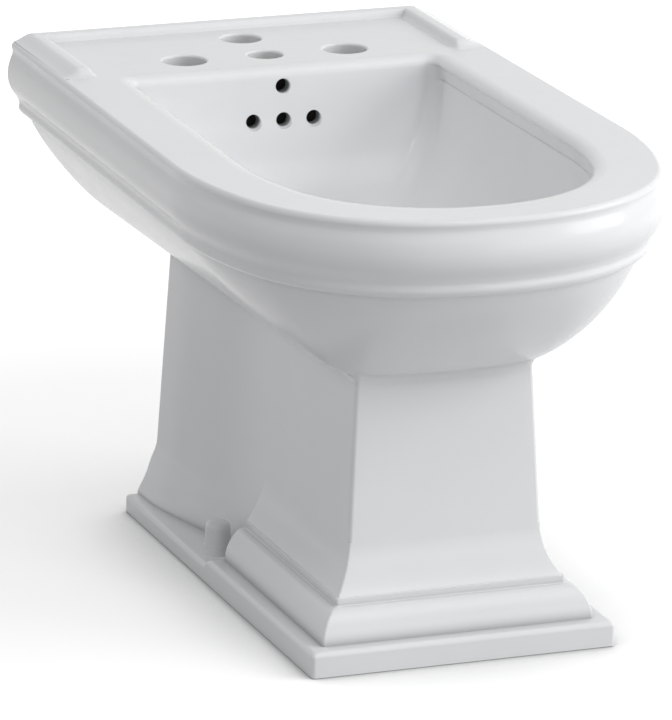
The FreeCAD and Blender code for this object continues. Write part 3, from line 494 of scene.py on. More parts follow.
def in_scene(name, data):
    item = bpy.data.objects.new(name, data)
    bpy.context.scene.collection.objects.link(item)
    return item


def finished(bm, name, body, materials, replaced, sharp=40.0):
    """Makes the object, with smooth faces and crisp edges, and ties it to its body."""
    bmesh.ops.remove_doubles(bm, verts=bm.verts, dist=weld)
    bmesh.ops.dissolve_degenerate(bm, dist=weld, edges=bm.edges)
    bmesh.ops.recalc_face_normals(bm, faces=bm.faces)
    mesh = mesh_of(bm, name)
    for material in materials:
        mesh.materials.append(material)
    mesh.shade_smooth()
    mesh.set_sharp_from_angle(angle=math.radians(sharp))
    piece = in_scene(name, mesh)
    weighted = piece.modifiers.new("Flat faces stay flat", "WEIGHTED_NORMAL")
    weighted.mode = "FACE_AREA"
    weighted.weight = 50
    weighted.keep_sharp = True
    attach(piece, body)
    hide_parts(replaced)


class China:
    """The places on the china, worked out from its sizes."""

    def __init__(self, sizes):
        self.s = sizes
        self.rear = sizes.length / 2
        self.front = -sizes.length / 2 + sizes.rim_bulge
        self.notch_z = sizes.deck_height - sizes.rim_height
        self.belly_z = self.notch_z - sizes.belly_depth
        self.floor_z = sizes.deck_height - sizes.bowl_depth
        self.under_deck = sizes.deck_height - sizes.deck_thickness
        self.plinth_rear = self.rear - plinth_rear_place
        self.plinth_front = self.rear - plinth_front_place
        self.moulding_end = self.rear - moulding_place
        self.waste_y = self.rear - waste_place
        self.spray_y = self.rear - spray_place
        self.bolt_y = self.rear - bolt_place
        self.tap_y = self.rear - tap_place
        self.breaker_y = self.rear - breaker_place

    def rim(self, outset, z, rear=None):
        points = closed_plan(self.s.rim_half_width, self.front, rim_shape, rear or self.rear, outset)
        return at_height(points, z)

    def belly_plan(self, share):
        """Half width, front and shape of the belly: share 0 is under the rim and share 1 is its foot."""
        half = blend(self.s.rim_half_width - belly_inset, self.s.belly_half, share)
        front = blend(self.front + belly_inset, self.column_front(self.belly_z) - self.s.overhang, share)
        return half, front, [blend(a, b, share) for a, b in zip(rim_shape, belly_shape)]

    def belly(self, share, inset, z):
        """The belly's plan, open at the back."""
        half, front, shape = self.belly_plan(share)
        return at_height(both_sides(half_plan(half, front, shape, self.rear, -inset, plan_steps)), z)

    def belly_share(self, drop):
        return 1 - (1 - min(drop, 1.0) ** belly_swell) ** (1 / belly_swell)

    def column_inset(self, z):
        share = (z - column_foot_z) / (self.belly_z - column_foot_z)
        return blend(column_foot_inset, column_top_inset, share)

    def column_front(self, z):
        return self.plinth_front + self.column_inset(z)

    def pier_half(self, z):
        waist_z = self.s.ledge_height + flare_height
        if z >= waist_z:
            return blend(pier_waist_half, pier_top_half, (z - waist_z) / (self.belly_z - waist_z))
        share = max(z - self.s.ledge_height, 0.0) / flare_height
        return blend(pier_waist_half, pier_foot_half, smooth_value(foot_flare, share))

    def shaft(self, z, inset):
        """The pedestal's plan, open at the back, from its left rear edge round to the right."""
        half = self.s.plinth_half - self.column_inset(z) - inset
        front = self.column_front(z) + inset
        pier = self.pier_half(z) - inset
        right = front_corner(half, front, shaft_corner, 8)
        right += [(half, blend(front + shaft_corner, self.moulding_end, step / 8)) for step in range(1, 9)]
        for along in (step / 24 for step in range(1, 25)):
            x = blend(half, pier, smooth_value(side_swell, along))
            right.append((x, blend(self.moulding_end, self.plinth_rear, along)))
        return at_height(both_sides(right), z)

    def bowl_back(self, share):
        return blend(self.rear - self.s.bowl_rear, self.rear - floor_rear_place, share)

    def bowl(self, share, z, outset=0.0, rear_outset=None):
        """The bowl's plan: share 0 is its opening, share 1 is its floor."""
        rear = self.bowl_back(share) + (outset if rear_outset is None else rear_outset)
        half = blend(self.s.bowl_half, floor_half, share)
        front = blend(self.rear - self.s.bowl_front, self.rear - floor_front_place, share)
        corner = blend(opening_corner, floor_corner, math.sqrt(share)) + max(outset, 0.0)
        return at_height(closed_plan(half, front, bowl_shape, rear, outset, corner, bowl_steps), z)

    def bowl_levels(self, steps=22):
        """Shares of the way in, and heights, from the collar down to the floor."""
        top = self.s.deck_height - self.s.bowl_edge - self.s.bowl_collar
        return [(1 - cosine, blend(top, self.floor_z, sine)) for sine, cosine in quarter(steps)]


def rim_and_bowl(bm, c):
    """The rim, the deck with its holes, and the bowl, as one closed skin."""
    deck_z = c.s.deck_height
    rim_edge, hole_edge = 4 * MM, 2 * MM
    hidden = c.rim(-18 * MM, c.notch_z + 0.3 * MM, c.rear - 3 * MM)

    rings = [c.rim(-rim_edge * (1 - sine), deck_z - rim_edge * (1 - cosine))
             for sine, cosine in quarter(6)[:-1]]
    rings += [c.rim(out * MM, deck_z - drop * MM) for out, drop in smooth_line(rim_moulding, 3)]
    top_loops = [sweep(bm, rings + [hidden])[0]]

    inner_rear = c.rear - c.s.wall
    inner = [c.rim(out * MM, deck_z - drop * MM, inner_rear) for out, drop in smooth_line(hollow_side, 3)]
    under_loops = [sweep(bm, [hidden] + inner, material=1)[1]]

    tap_x = c.s.tap_spacing / 2
    for x, y, across in ((-tap_x, c.tap_y, c.s.tap_hole), (tap_x, c.tap_y, c.s.tap_hole),
                         (0.0, c.tap_y, c.s.diverter_hole), (0.0, c.breaker_y, c.s.breaker_hole)):
        rings = [circle(x, y, across / 2 + hole_edge * (1 - sine), deck_z - hole_edge * (1 - cosine))
                 for sine, cosine in quarter(5)]
        top, foot = sweep(bm, rings + [circle(x, y, across / 2, c.under_deck)])
        top_loops.append(top)
        under_loops.append(foot)

    rings = []
    radius = c.s.bowl_edge
    for drop, out in bowl_nose:
        below = radius - min(drop * MM, radius)
        rear_out = radius - math.sqrt(radius * radius - below * below)
        rings.append(c.bowl(0.0, deck_z - drop * MM, out * MM, rear_out))
    levels = c.bowl_levels()
    collar_z = levels[0][1]
    rings += [c.bowl(0.0, collar_z + rise * MM, out * MM, 0.0) for rise, out in bowl_band]
    for share, z in levels[1:]:
        fade = max(0.0, 1 - (collar_z - z) / band_fade)
        rings.append(c.bowl(share, z, band_step * fade, 0.0))
    opening, floor_edge = sweep(bm, rings)
    top_loops.append(opening)

    floor_loops, floor_under = [floor_edge], []
    for y, across in ((c.waste_y, waste_hole), (c.spray_y, spray_hole)):
        top, foot = sweep(bm, [circle(0.0, y, across / 2, z) for z in (c.floor_z, c.floor_z - c.s.wall)])
        floor_loops.append(top)
        floor_under.append(foot)

    outside = [c.bowl(share, z - c.s.wall * share, c.s.wall) for share, z in reversed(levels)]
    outside.append(c.bowl(0.0, c.under_deck, c.s.wall))
    outer_floor, outer_top = sweep(bm, outside, material=1)
    under_loops.append(outer_top)

    fill(bm, top_loops)
    fill(bm, floor_loops)
    fill(bm, [outer_floor] + floor_under, material=1)
    fill(bm, under_loops, material=1)


def belly(bm, c):
    """The belly's wall, open at the back, with its inner and outer skins in one loop."""
    start = c.belly(0.0, 4 * MM, c.notch_z + 3 * MM)
    rings = [there_and_back(start, start)]
    inner_reach = 1 - c.s.wall / c.s.belly_depth
    raised = 1 * MM
    for drop, _ in quarter(30):
        outer = c.belly(c.belly_share(drop), 0.0, c.notch_z - c.s.belly_depth * drop + raised)
        deep = drop * inner_reach
        inner = c.belly(c.belly_share(deep), c.s.wall, c.notch_z - c.s.belly_depth * deep)
        rings.append(there_and_back(outer, inner))
        raised = 0.0
    low = c.belly(1.0, 14 * MM, c.belly_z)
    high = c.belly(1.0, 14 * MM, c.belly_z + c.s.wall)
    end = c.belly(1.0, 19 * MM, c.belly_z + c.s.wall / 2)
    rings += [there_and_back(low, high), there_and_back(end, end)]
    sweep(bm, rings, inner_from=len(start))

    slab = []
    low, high = c.belly_z + 0.3 * MM, c.belly_z + c.s.wall - 0.3 * MM
    front = c.plinth_rear - 8 * MM
    for inset, z in softened([(6 * MM, low), (0.3 * MM, low), (0.3 * MM, high), (6 * MM, high)], 1.5 * MM):
        half = c.s.belly_half - 1 * MM - inset
        rear = c.rear - inset
        slab.append(at_height([(-half, front), (half, front), (half, rear), (-half, rear)], z))
    for loop in sweep(bm, slab):
        fill(bm, [loop], 1)


def inside_plan(x, y, half, front, shape):
    """Whether a point lies inside a D-shaped plan that is open at the back."""
    x = abs(x)
    arcs = bends(half, front, shape)
    for cx, cy, radius, start, end in arcs:
        angle = math.atan2(x - cx, cy - y)
        if start <= angle <= end:
            return math.hypot(x - cx, cy - y) <= radius
    cx, cy, radius, start, end = arcs[-1]
    foot_x, foot_y = cx + radius * math.sin(end), cy - radius * math.cos(end)
    return y >= foot_y and x <= foot_x - (y - foot_y) * math.tan(math.radians(shape[-1]))


def belly_height(c, x, y):
    """Height of the belly's underside over a point of the floor."""
    halvings = 22
    low, high = 0.0, 1.0
    for _ in range(halvings):
        middle = (low + high) / 2
        if inside_plan(x, y, *c.belly_plan(c.belly_share(middle))):
            low = middle
        else:
            high = middle
    return c.notch_z - c.s.belly_depth * low


def junction(bm, c):
    """The hollow where the pedestal runs out under the belly, as left by a ball rolled along the corner."""
    steps, tries = 8, 20
    rear_radius, shrink_from, shrink_over = 2.5 * MM, 0.12, 0.10
    proud, buried = 0.03 * MM, 3 * MM
    outline = [Vector(point) for point in c.shaft(c.belly_z, 0.0)]
    rings = []
    for k, point in enumerate(outline):
        before, after = outline[max(k - 1, 0)], outline[min(k + 1, len(outline) - 1)]
        along = (after - before).normalized()
        way = Vector((along.y, -along.x, 0.0))
        back = min(max((point.y - c.front - shrink_from) / shrink_over, 0.0), 1.0)
        radius = blend(c.s.junction_radius, rear_radius, eased(back))
        spots = []
        for reach in (2 * radius, 0.2 * radius):
            near = min(spots)[1] - reach / 2 if spots else 0.0
            for step in range(tries + 1):
                out = min(max(near + reach * step / tries, 0.0), 2 * radius)
                place = point + way * out
                high = belly_height(c, place.x, place.y)
                spots.append((high - math.sqrt(max(radius ** 2 - (radius - out) ** 2, 0.0)), out, high))
        centre_z, out, high = min(spots)
        end = math.atan2(high - centre_z, radius - out)
        ring = []
        for step in range(steps + 1):
            angle = end * step / steps
            lift = centre_z + radius * math.sin(angle)
            shift = (c.column_inset(c.belly_z) - c.column_inset(lift)) if lift < c.belly_z else 0.0
            share = 1 - step / steps
            ring.append(tuple(point + way * (radius * (1 - math.cos(angle)) + shift * share + proud)
                              + Vector((0, 0, lift - point.z))))
        hidden = ring[-1]
        ring.append(tuple(Vector(hidden) - way * 1.5 * MM + Vector((0, 0, 2.5 * MM))))
        ring.append(tuple(point - way * buried + Vector((0, 0, 2 * MM))))
        ring.append(tuple(point - way * buried + Vector((0, 0, centre_z - point.z))))
        rings.append(ring)
    capped(bm, rings)


def pedestal(bm, c):
    """The column and the pier behind it, open at the back and below."""
    wall, middle = 11 * MM, 6 * MM
    heights = shaft_heights + [c.belly_z + 4 * MM]
    low, high = (c.shaft(z, middle) for z in (heights[0], heights[-1]))
    rings = [there_and_back(c.shaft(z, 0.0), c.shaft(z, wall)) for z in heights]
    sweep(bm, [there_and_back(low, low)] + rings + [there_and_back(high, high)], inner_from=len(low))


def plinth_path(c, inset, z, corner, end_round=0.0):
    """A line round the plinth from its left side to its right, inset from the slab's face."""
    half = c.s.plinth_half - inset
    front = c.plinth_front + inset
    rear = c.moulding_end
    right = front_corner(half, front, corner, 10)
    right += [(half, blend(front + corner, rear - end_round, step / 16)) for step in range(1, 17)]
    right += [(half - end_round * (1 - cosine), rear - end_round * (1 - sine))
              for sine, cosine in quarter(5, 1)]
    return at_height(both_sides(right), z)


def swept_band(bm, c, section, core, corner, end_round=0.0):
    """Carries a section of insets and heights round the plinth, on a core at a fixed inset."""
    low, high = (plinth_path(c, core, z, corner) for z in (section[0][1], section[-1][1]))
    rings = [there_and_back(plinth_path(c, inset, z, corner, end_round), plinth_path(c, core, z, corner))
             for inset, z in section]
    sweep(bm, [there_and_back(low, low)] + rings + [there_and_back(high, high)])


def slab_section(foot, top, depth):
    """A slab's face in section, as insets and heights, with a soft foot and a rounded upper edge."""
    low = softened([(foot, 0.0), (0.0, 0.0), (0.0, 6 * MM)], plinth_foot_round, 2)
    edge = arc_between((0.0, top - plinth_round), (plinth_round, top), plinth_round * quarter_rise, 8)
    return low + edge + [(depth, top)]


def ledge_bars(bm, c):
    """The ledges at the pedestal's sides that carry the bolts, with rounded edges."""
    depth = 30 * MM
    ramp_start, ramp, rear = c.moulding_end - 0.02 * MM, 11 * MM, c.plinth_rear + 0.2 * MM
    slab_z = c.s.slab_height - 0.05 * MM
    stations = [(ramp_start + ramp * share, 0.0, blend(slab_z, c.s.ledge_height, eased(share)))
                for share in (step / 8 for step in range(9))]
    start, end = c.moulding_end + 10 * MM, c.plinth_rear - plinth_round
    stations += [(blend(start, end, step / 8), 0.0, c.s.ledge_height) for step in range(1, 9)]
    for sine, cosine in quarter(6, 1):
        shrink = plinth_round * (1 - cosine)
        stations.append((rear - plinth_round * (1 - sine), shrink, c.s.ledge_height - shrink / 2))
    for side in (-1, 1):
        capped(bm, [[(side * (c.s.plinth_half - max(inset, shrink)), y, z)
                     for inset, z in [(depth, 0.0)] + slab_section(3 * MM, top, depth)]
                    for y, shrink, top in stations])


def plinth(bm, c):
    """The slab, and the ovolo, fillet and cavetto round the column's foot."""
    slab_z = c.s.slab_height
    swept_band(bm, c, slab_section(1.5 * MM, slab_z, 20 * MM), 49 * MM, 3 * MM)
    foot_inset = 13.3 * MM
    fillet_z = slab_z + 24 * MM
    ovolo = arc_between((foot_inset, slab_z), (24.5 * MM, fillet_z), 3.4 * MM, 12)
    fillet = softened([ovolo[-1], (29.7 * MM, fillet_z + 0.7 * MM), (29.7 * MM, fillet_z + 6.7 * MM),
                       (31.0 * MM, fillet_z + 6.7 * MM)], 1.1 * MM, 4)
    cavetto = arc_between(fillet[-1], (44.6 * MM, column_foot_z), -3.0 * MM, 14)
    section = [(foot_inset, slab_z - 2 * MM)] + ovolo[:-1] + fillet + cavetto[1:]
    swept_band(bm, c, section, 50 * MM, 1.6 * MM, 4 * MM)


def lip(bm, c):
    """The raised border round the back of the deck, running out at both sides."""
    outer_x = 176.5 * MM
    back_x = outer_x - 34 * MM
    end_y = c.rear - 134 * MM
    run_out = 15 * MM
    deck_z = c.s.deck_height

    def side_ring(side, y, rise):
        return [(side * (outer_x - across * MM), y, deck_z + (high * rise if high > 0 else high) * MM)
                for across, back, high in lip_section]

    def corner_ring(side):
        return [(side * (outer_x - across * MM), c.rear - back * MM, deck_z + high * MM)
                for across, back, high in lip_section]

    def back_ring(x):
        return [(x, c.rear - back * MM, deck_z + high * MM) for across, back, high in lip_section]

    stations = [(end_y + run_out * share, eased(share)) for share in (step / 8 for step in range(9))]
    stations += [(blend(end_y + run_out, c.rear - 22 * MM, step / 6), 1.0) for step in range(1, 7)]
    rings = [side_ring(1, y, rise) for y, rise in stations] + [corner_ring(1)]
    rings += [back_ring(blend(back_x, -back_x, step / 12)) for step in range(1, 12)] + [corner_ring(-1)]
    capped(bm, rings + [side_ring(-1, y, rise) for y, rise in reversed(stations)])


def channel_cover(bm, c):
    """The overflow channel's wall, on the outside of the bowl's back and floor."""
    across, depth, wall, steps = 34 * MM, 11 * MM, 6 * MM, 16
    start = c.s.wall - 1 * MM
    outside = c.s.wall + depth + wall

    def section(depth_here):
        inside = c.s.wall + depth_here
        return [(-across - wall, start), (-across - wall, outside), (across + wall, outside),
                (across + wall, start), (across, start), (across, inside), (-across, inside), (-across, start)]

    places = [(c.bowl_back(0.0), c.under_deck + 2 * MM, 0.0, depth)]
    for step, (share, z) in enumerate(c.bowl_levels(steps)):
        places.append((c.bowl_back(share), z, math.radians(90.0) * step / steps, depth))
    places.append((c.waste_y + 20 * MM, places[-1][1], math.radians(90.0), -1 * MM))
    rings = [[(x, y + out * math.cos(turn), z - out * math.sin(turn)) for x, out in section(deep)]
             for y, z, turn, deep in places]
    # The channel's inner faces take the third material, which is dark with painted shade
    for face in capped(bm, rings, inner_from=4, material=1, inner_material=2):
        face.material_index = 1


def overflow_cutter(c):
    """Flared rods for the holes through the bowl's rear wall."""
    bm = bmesh.new()
    radius = c.s.overflow_hole / 2
    for x, drop, lean in overflow_places:
        y = c.bowl_back(0.0) - lean * MM
        z = c.s.deck_height - drop * MM
        capped(bm, [[(a, y + back * MM, b) for a, b, _ in circle(x * MM, z, radius + grow * MM, 0.0, 40)]
                    for back, grow in overflow_mouth])
    bmesh.ops.recalc_face_normals(bm, faces=bm.faces)
    return in_scene("overflow_rods", mesh_of(bm, "overflow_rods"))


def pierced(bm, cutter):
    """Cuts the rods out of the bmesh's closed skin and gives the result as a mesh."""
    bmesh.ops.recalc_face_normals(bm, faces=bm.faces)
    block = in_scene("uncut", mesh_of(bm, "uncut"))
    cut = block.modifiers.new("Overflow holes", "BOOLEAN")
    cut.operation = "DIFFERENCE"
    cut.solver = "EXACT"
    cut.object = cutter
    bpy.context.view_layer.update()
    graph = bpy.context.evaluated_depsgraph_get()
    result = bpy.data.meshes.new_from_object(block.evaluated_get(graph))
    for item in (block, cutter):
        data = item.data
        bpy.data.objects.remove(item)
        bpy.data.meshes.remove(data)
    return result


def bolt_cap(bm, side, c):
    """A tapered cap with a rolled foot and a domed top."""
    section = smooth_line([(9.4, 0.0), (11.0, 0.0), (11.2, 0.35), (11.15, 1.1), (10.95, 2.2)], 4)
    section += smooth_line([(10.9, 3.0), (10.3, 11.0), (9.75, 19.6), (9.5, 21.6), (8.9, 23.4), (7.7, 24.8),
                            (5.6, 25.6), (3.0, 25.95), (0.0, 26.0)], 5)
    inner = smooth_line([(0.0, 24.2), (5.0, 24.0), (7.4, 22.6), (8.0, 20.0), (8.7, 11.0), (9.4, 0.0)], 3)
    points = [(radius * MM, c.s.ledge_height + height * MM) for radius, height in inner + section[1:]]
    turned(bm, points, side * bolt_spread, c.bolt_y)


def stopper_dome(bm, c, low, high):
    """The stopper's domed disc, with a fine groove round its edge and a skirt below."""
    top = (high.z - low.z) / MM
    section = [(0.0, 0.0), (12.6, 0.0), (13.5, 0.9), (13.5, 6.0), (20.2, 6.0), (20.9, 6.3), (21.0, 6.9),
               (21.0, 8.0), (20.9, 8.5)]
    section += smooth_line([(20.4, 8.9), (19.2, 9.3), (15.1, top - 1.3), (8.4, top - 0.35), (0.0, top)], 6)
    turned(bm, [(radius * MM, low.z + height * MM) for radius, height in section], 0.0, c.waste_y, 96)


def feed(tree, target, inputs):
    """Links each of the node's inputs to a socket, or sets it to a value."""
    for place, value in inputs.items():
        if isinstance(value, bpy.types.NodeSocket):
            tree.links.new(value, target.inputs[place])
        else:
            target.inputs[place].default_value = value
    return target


def node(tree, kind, inputs=None, **settings):
    """A new node with its settings and inputs."""
    made = tree.nodes.new(kind)
    for label, value in settings.items():
        setattr(made, label, value)
    return feed(tree, made, inputs or {})


def math_node(tree, operation, first, second):
    return node(tree, "ShaderNodeMath", {0: first, 1: second}, operation=operation).outputs[0]


def vector_length(tree, vector):
    return node(tree, "ShaderNodeVectorMath", {0: vector}, operation="LENGTH").outputs["Value"]


def ranged(tree, value, low, high, from_low=0.3, from_high=0.7):
    """Maps a value between two limits, which are sockets or numbers."""
    return node(tree, "ShaderNodeMapRange", {"Value": value, "From Min": from_low, "From Max": from_high,
                                             "To Min": low, "To Max": high}).outputs["Result"]


def bumped(tree, height, strength, distance):
    return node(tree, "ShaderNodeBump", {"Height": height, "Strength": strength,
                                         "Distance": distance}).outputs["Normal"]


def own_place(tree):
    """The place on the piece, in its own coordinates."""
    return node(tree, "ShaderNodeTexCoord").outputs["Object"]


def noise(tree, scale, detail, roughness=0.5):
    """Noise on the piece's own coordinates; the scale's socket gives turns per metre."""
    return node(tree, "ShaderNodeTexNoise", {"Vector": own_place(tree), "Scale": scale, "Detail": detail,
                                             "Roughness": roughness}).outputs["Fac"]


def effect_group(name, inputs, outputs):
    """An empty node group with named inputs and outputs, and its two end nodes."""
    group = bpy.data.node_groups.new(name, "ShaderNodeTree")
    for label, default in inputs:
        kind = "NodeSocketFloat" if isinstance(default, float) else "NodeSocketColor"
        socket = group.interface.new_socket(name=label, in_out="INPUT", socket_type=kind)
        socket.default_value = default if isinstance(default, float) else (*default, 1.0)
    for label, kind in outputs:
        group.interface.new_socket(name=label, in_out="OUTPUT", socket_type=kind)
    return group, group.nodes.new("NodeGroupInput"), group.nodes.new("NodeGroupOutput")


def cloudy_surface(name):
    """Broad clouds in the colour and gloss, and a fine unevenness of the surface."""
    cloud_detail, grain_detail, grain_roughness, grain_depth = 3.0, 4.0, 0.6, 0.0004
    group, start, end = effect_group(name, [("Colour", (0.8, 0.8, 0.8)), ("Shade", (0.7, 0.7, 0.7)),
                                            ("Cloud scale", 20.0), ("Grain scale", 400.0), ("Smoothest", 0.1),
                                            ("Roughest", 0.2), ("Unevenness", 0.1)],
                                     [("Colour", "NodeSocketColor"), ("Roughness", "NodeSocketFloat"),
                                      ("Normal", "NodeSocketVector")])
    given = start.outputs
    clouds = ranged(group, noise(group, given["Cloud scale"], cloud_detail), 0.0, 1.0)
    grain = noise(group, given["Grain scale"], grain_detail, grain_roughness)
    mixed = node(group, "ShaderNodeMix", {0: clouds, 6: given["Colour"], 7: given["Shade"]}, data_type="RGBA")
    feed(group, end, {"Colour": mixed.outputs[2],
                      "Roughness": ranged(group, grain, given["Smoothest"], given["Roughest"]),
                      "Normal": bumped(group, grain, given["Unevenness"], grain_depth)})
    return group


def lathe_marks(name):
    """Fine rings round an upright line, as a lathe leaves them on a turned piece."""
    ring_detail, ring_depth = 2.0, 0.0002
    group, start, end = effect_group(name, [("Centre y", 0.0), ("Rings per metre", 2500.0), ("Depth", 0.1)],
                                     [("Mask", "NodeSocketFloat"), ("Normal", "NodeSocketVector")])
    given = start.outputs
    parts = node(group, "ShaderNodeSeparateXYZ", {0: own_place(group)}).outputs
    across = math_node(group, "SUBTRACT", parts["Y"], given["Centre y"])
    flat = node(group, "ShaderNodeCombineXYZ", {"X": parts["X"], "Y": across})
    total = math_node(group, "ADD", vector_length(group, flat.outputs[0]), parts["Z"])
    rings = math_node(group, "MULTIPLY", total, given["Rings per metre"])
    mask = node(group, "ShaderNodeTexNoise", {"W": rings, "Scale": 1.0, "Detail": ring_detail},
                noise_dimensions="1D").outputs["Fac"]
    feed(group, end, {"Mask": mask, "Normal": bumped(group, mask, given["Depth"], ring_depth)})
    return group


def effect_node(tree, name, builder, inputs):
    """A node with the shared group of that name, which the builder makes at its first use."""
    return node(tree, "ShaderNodeGroup", inputs, node_tree=bpy.data.node_groups.get(name) or builder(name))


def surface(name, colour, shade, clouds, grain, smooth, rough, uneven, metallic=0.0):
    """A material whose colour, gloss and unevenness come from the cloudy group."""
    material = bpy.data.materials.new(name)
    material.use_nodes = True
    tree = material.node_tree
    shader = next(item for item in tree.nodes if item.type == "BSDF_PRINCIPLED")
    effect = effect_node(tree, "CloudySurface", cloudy_surface, {
        "Colour": (*colour, 1.0), "Shade": (*[value * shade for value in colour], 1.0), "Cloud scale": clouds,
        "Grain scale": grain, "Smoothest": smooth, "Roughest": rough, "Unevenness": uneven})
    feed(tree, shader, {"Base Color": effect.outputs["Colour"], "Roughness": effect.outputs["Roughness"],
                        "Normal": effect.outputs["Normal"], "Metallic": metallic})
    return material, tree, shader


def finish(colours, name, share=1.0):
    """A material from the table of finishes, with its tree and shader."""
    colour, *look = finishes[name]
    return surface(name, [value * share for value in getattr(colours, colour)], *look)


def turned_metal(colours, name, centre_y):
    """Metal with lathe marks round the fittings' upright line."""
    colour, shade, smooth, rough, depth = turned_finishes[name]
    material, tree, shader = surface(name, getattr(colours, colour), shade, turned_clouds, turned_grain,
                                     smooth, rough, turned_unevenness, 1.0)
    marks = effect_node(tree, "LatheMarks", lathe_marks, {"Centre y": centre_y, "Depth": depth})
    feed(tree, shader, {"Normal": marks.outputs["Normal"]})
    return material


def glaze_material(colours):
    """The glaze, with shade painted into its colour in its hollows."""
    material, tree, shader = finish(colours, "white_glaze")
    feed(tree, shader, {"IOR": glaze_ior, "Coat Weight": glaze_coat, "Coat Roughness": glaze_coat_roughness})
    # Ambient occlusion of the piece itself darkens the glaze colour in hollows and creases: painted shade
    hollow = node(tree, "ShaderNodeAmbientOcclusion", {"Distance": painted_shade_reach}, samples=10, only_local=True)
    depth = ranged(tree, hollow.outputs["AO"], painted_hollow_shade, 1.0, *painted_shade_openness)
    unshaded_colour = shader.inputs["Base Color"].links[0].from_socket
    darkened_by_painted_shade = node(tree, "ShaderNodeVectorMath", {0: unshaded_colour, "Scale": depth}, operation="SCALE")
    feed(tree, shader, {"Base Color": darkened_by_painted_shade.outputs["Vector"]})
    return material


def wear(material, *names):
    """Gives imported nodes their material."""
    for name in names:
        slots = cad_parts[name].data.materials
        slots.clear()
        slots.append(material)


class BIDET_OT_china(bpy.types.Operator):
    """Model the glazed china: rim, deck, bowl, belly, pedestal and lip"""

    bl_idname = "bidet.china"
    bl_label = "China body"

    def execute(self, context):
        colours = context.scene.bidet_finish
        c = China(context.scene.bidet_sizes)
        bm = bmesh.new()
        rim_and_bowl(bm, c)
        drilled = pierced(bm, overflow_cutter(c))
        bm = bmesh.new()
        bm.from_mesh(drilled)
        bpy.data.meshes.remove(drilled)
        bmesh.ops.remove_doubles(bm, verts=bm.verts, dist=weld)
        for part in (belly, junction, pedestal, plinth, ledge_bars, lip, channel_cover):
            part(bm, c)
        # The channel's inner material is bisque darkened as painted shade
        painted_channel_shade = finish(colours, "channel_lining", channel_shade_share)[0]
        materials = [glaze_material(colours), finish(colours, "bare_china")[0], painted_channel_shade]
        finished(bm, "china", fixed_body, materials, "china_body", 32.0)
        return {"FINISHED"}


class BIDET_OT_bolt_caps(bpy.types.Operator):
    """Model the two moulded caps over the floor bolts"""

    bl_idname = "bidet.bolt_caps"
    bl_label = "Bolt caps"

    def execute(self, context):
        c = China(context.scene.bidet_sizes)
        bm = bmesh.new()
        for side in (-1, 1):
            bolt_cap(bm, side, c)
        plastic = finish(context.scene.bidet_finish, "cap_plastic")[0]
        finished(bm, "cap_pair", fixed_body, [plastic], "bolt_caps")
        return {"FINISHED"}


class BIDET_OT_stopper(bpy.types.Operator):
    """Model the stopper's domed cap and finish the pieces that move with it"""

    bl_idname = "bidet.stopper"
    bl_label = "Stopper"

    def execute(self, context):
        colours = context.scene.bidet_finish
        c = China(context.scene.bidet_sizes)
        bm = bmesh.new()
        stopper_dome(bm, c, *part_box("stopper_cap"))
        chrome = turned_metal(colours, "cap_plating", c.waste_y)
        finished(bm, "domed_cap", stopper_body, [chrome], "stopper_cap")
        wear(turned_metal(colours, "stem_metal", c.waste_y), "stopper_stem")
        wear(finish(colours, "ring_compound")[0], "stopper_ring")
        return {"FINISHED"}


class BIDET_OT_fittings(bpy.types.Operator):
    """Finish the waste, the spray and the floor fixings"""

    bl_idname = "bidet.fittings"
    bl_label = "Fittings"

    def execute(self, context):
        colours = context.scene.bidet_finish
        c = China(context.scene.bidet_sizes)
        wear(turned_metal(colours, "waste_plating", c.waste_y), "waste_body", "waste_tail")
        wear(turned_metal(colours, "waste_brass", c.waste_y), "waste_nut")
        wear(turned_metal(colours, "spray_plating", c.spray_y), "spray_rose", "spray_body")
        wear(turned_metal(colours, "spray_brass", c.spray_y), "spray_nut", "spray_union_nut",
             "spray_inlet_tail")
        wear(finish(colours, "zinc_plating")[0], "floor_bolts", "bolt_washers", "bolt_nuts", "spray_washer")
        wear(finish(colours, "spring_wire")[0], "stopper_spring")
        wear(finish(colours, "seal_compound")[0], "waste_seal", "waste_gasket", "spray_seal", "spray_gasket")
        wear(finish(colours, "nylon")[0], "waste_friction_ring", "stopper_cartridge")
        wear(finish(colours, "base_plastic")[0], "cap_bases")
        return {"FINISHED"}


def seen_directly(tree):
    """1 for the camera's own rays, reflections and rays through glass, and 0 for soft light."""
    path = tree.nodes.new("ShaderNodeLightPath")
    mirrored = math_node(tree, "MAXIMUM", path.outputs["Is Glossy Ray"], path.outputs["Is Transmission Ray"])
    return math_node(tree, "MAXIMUM", path.outputs["Is Camera Ray"], mirrored)


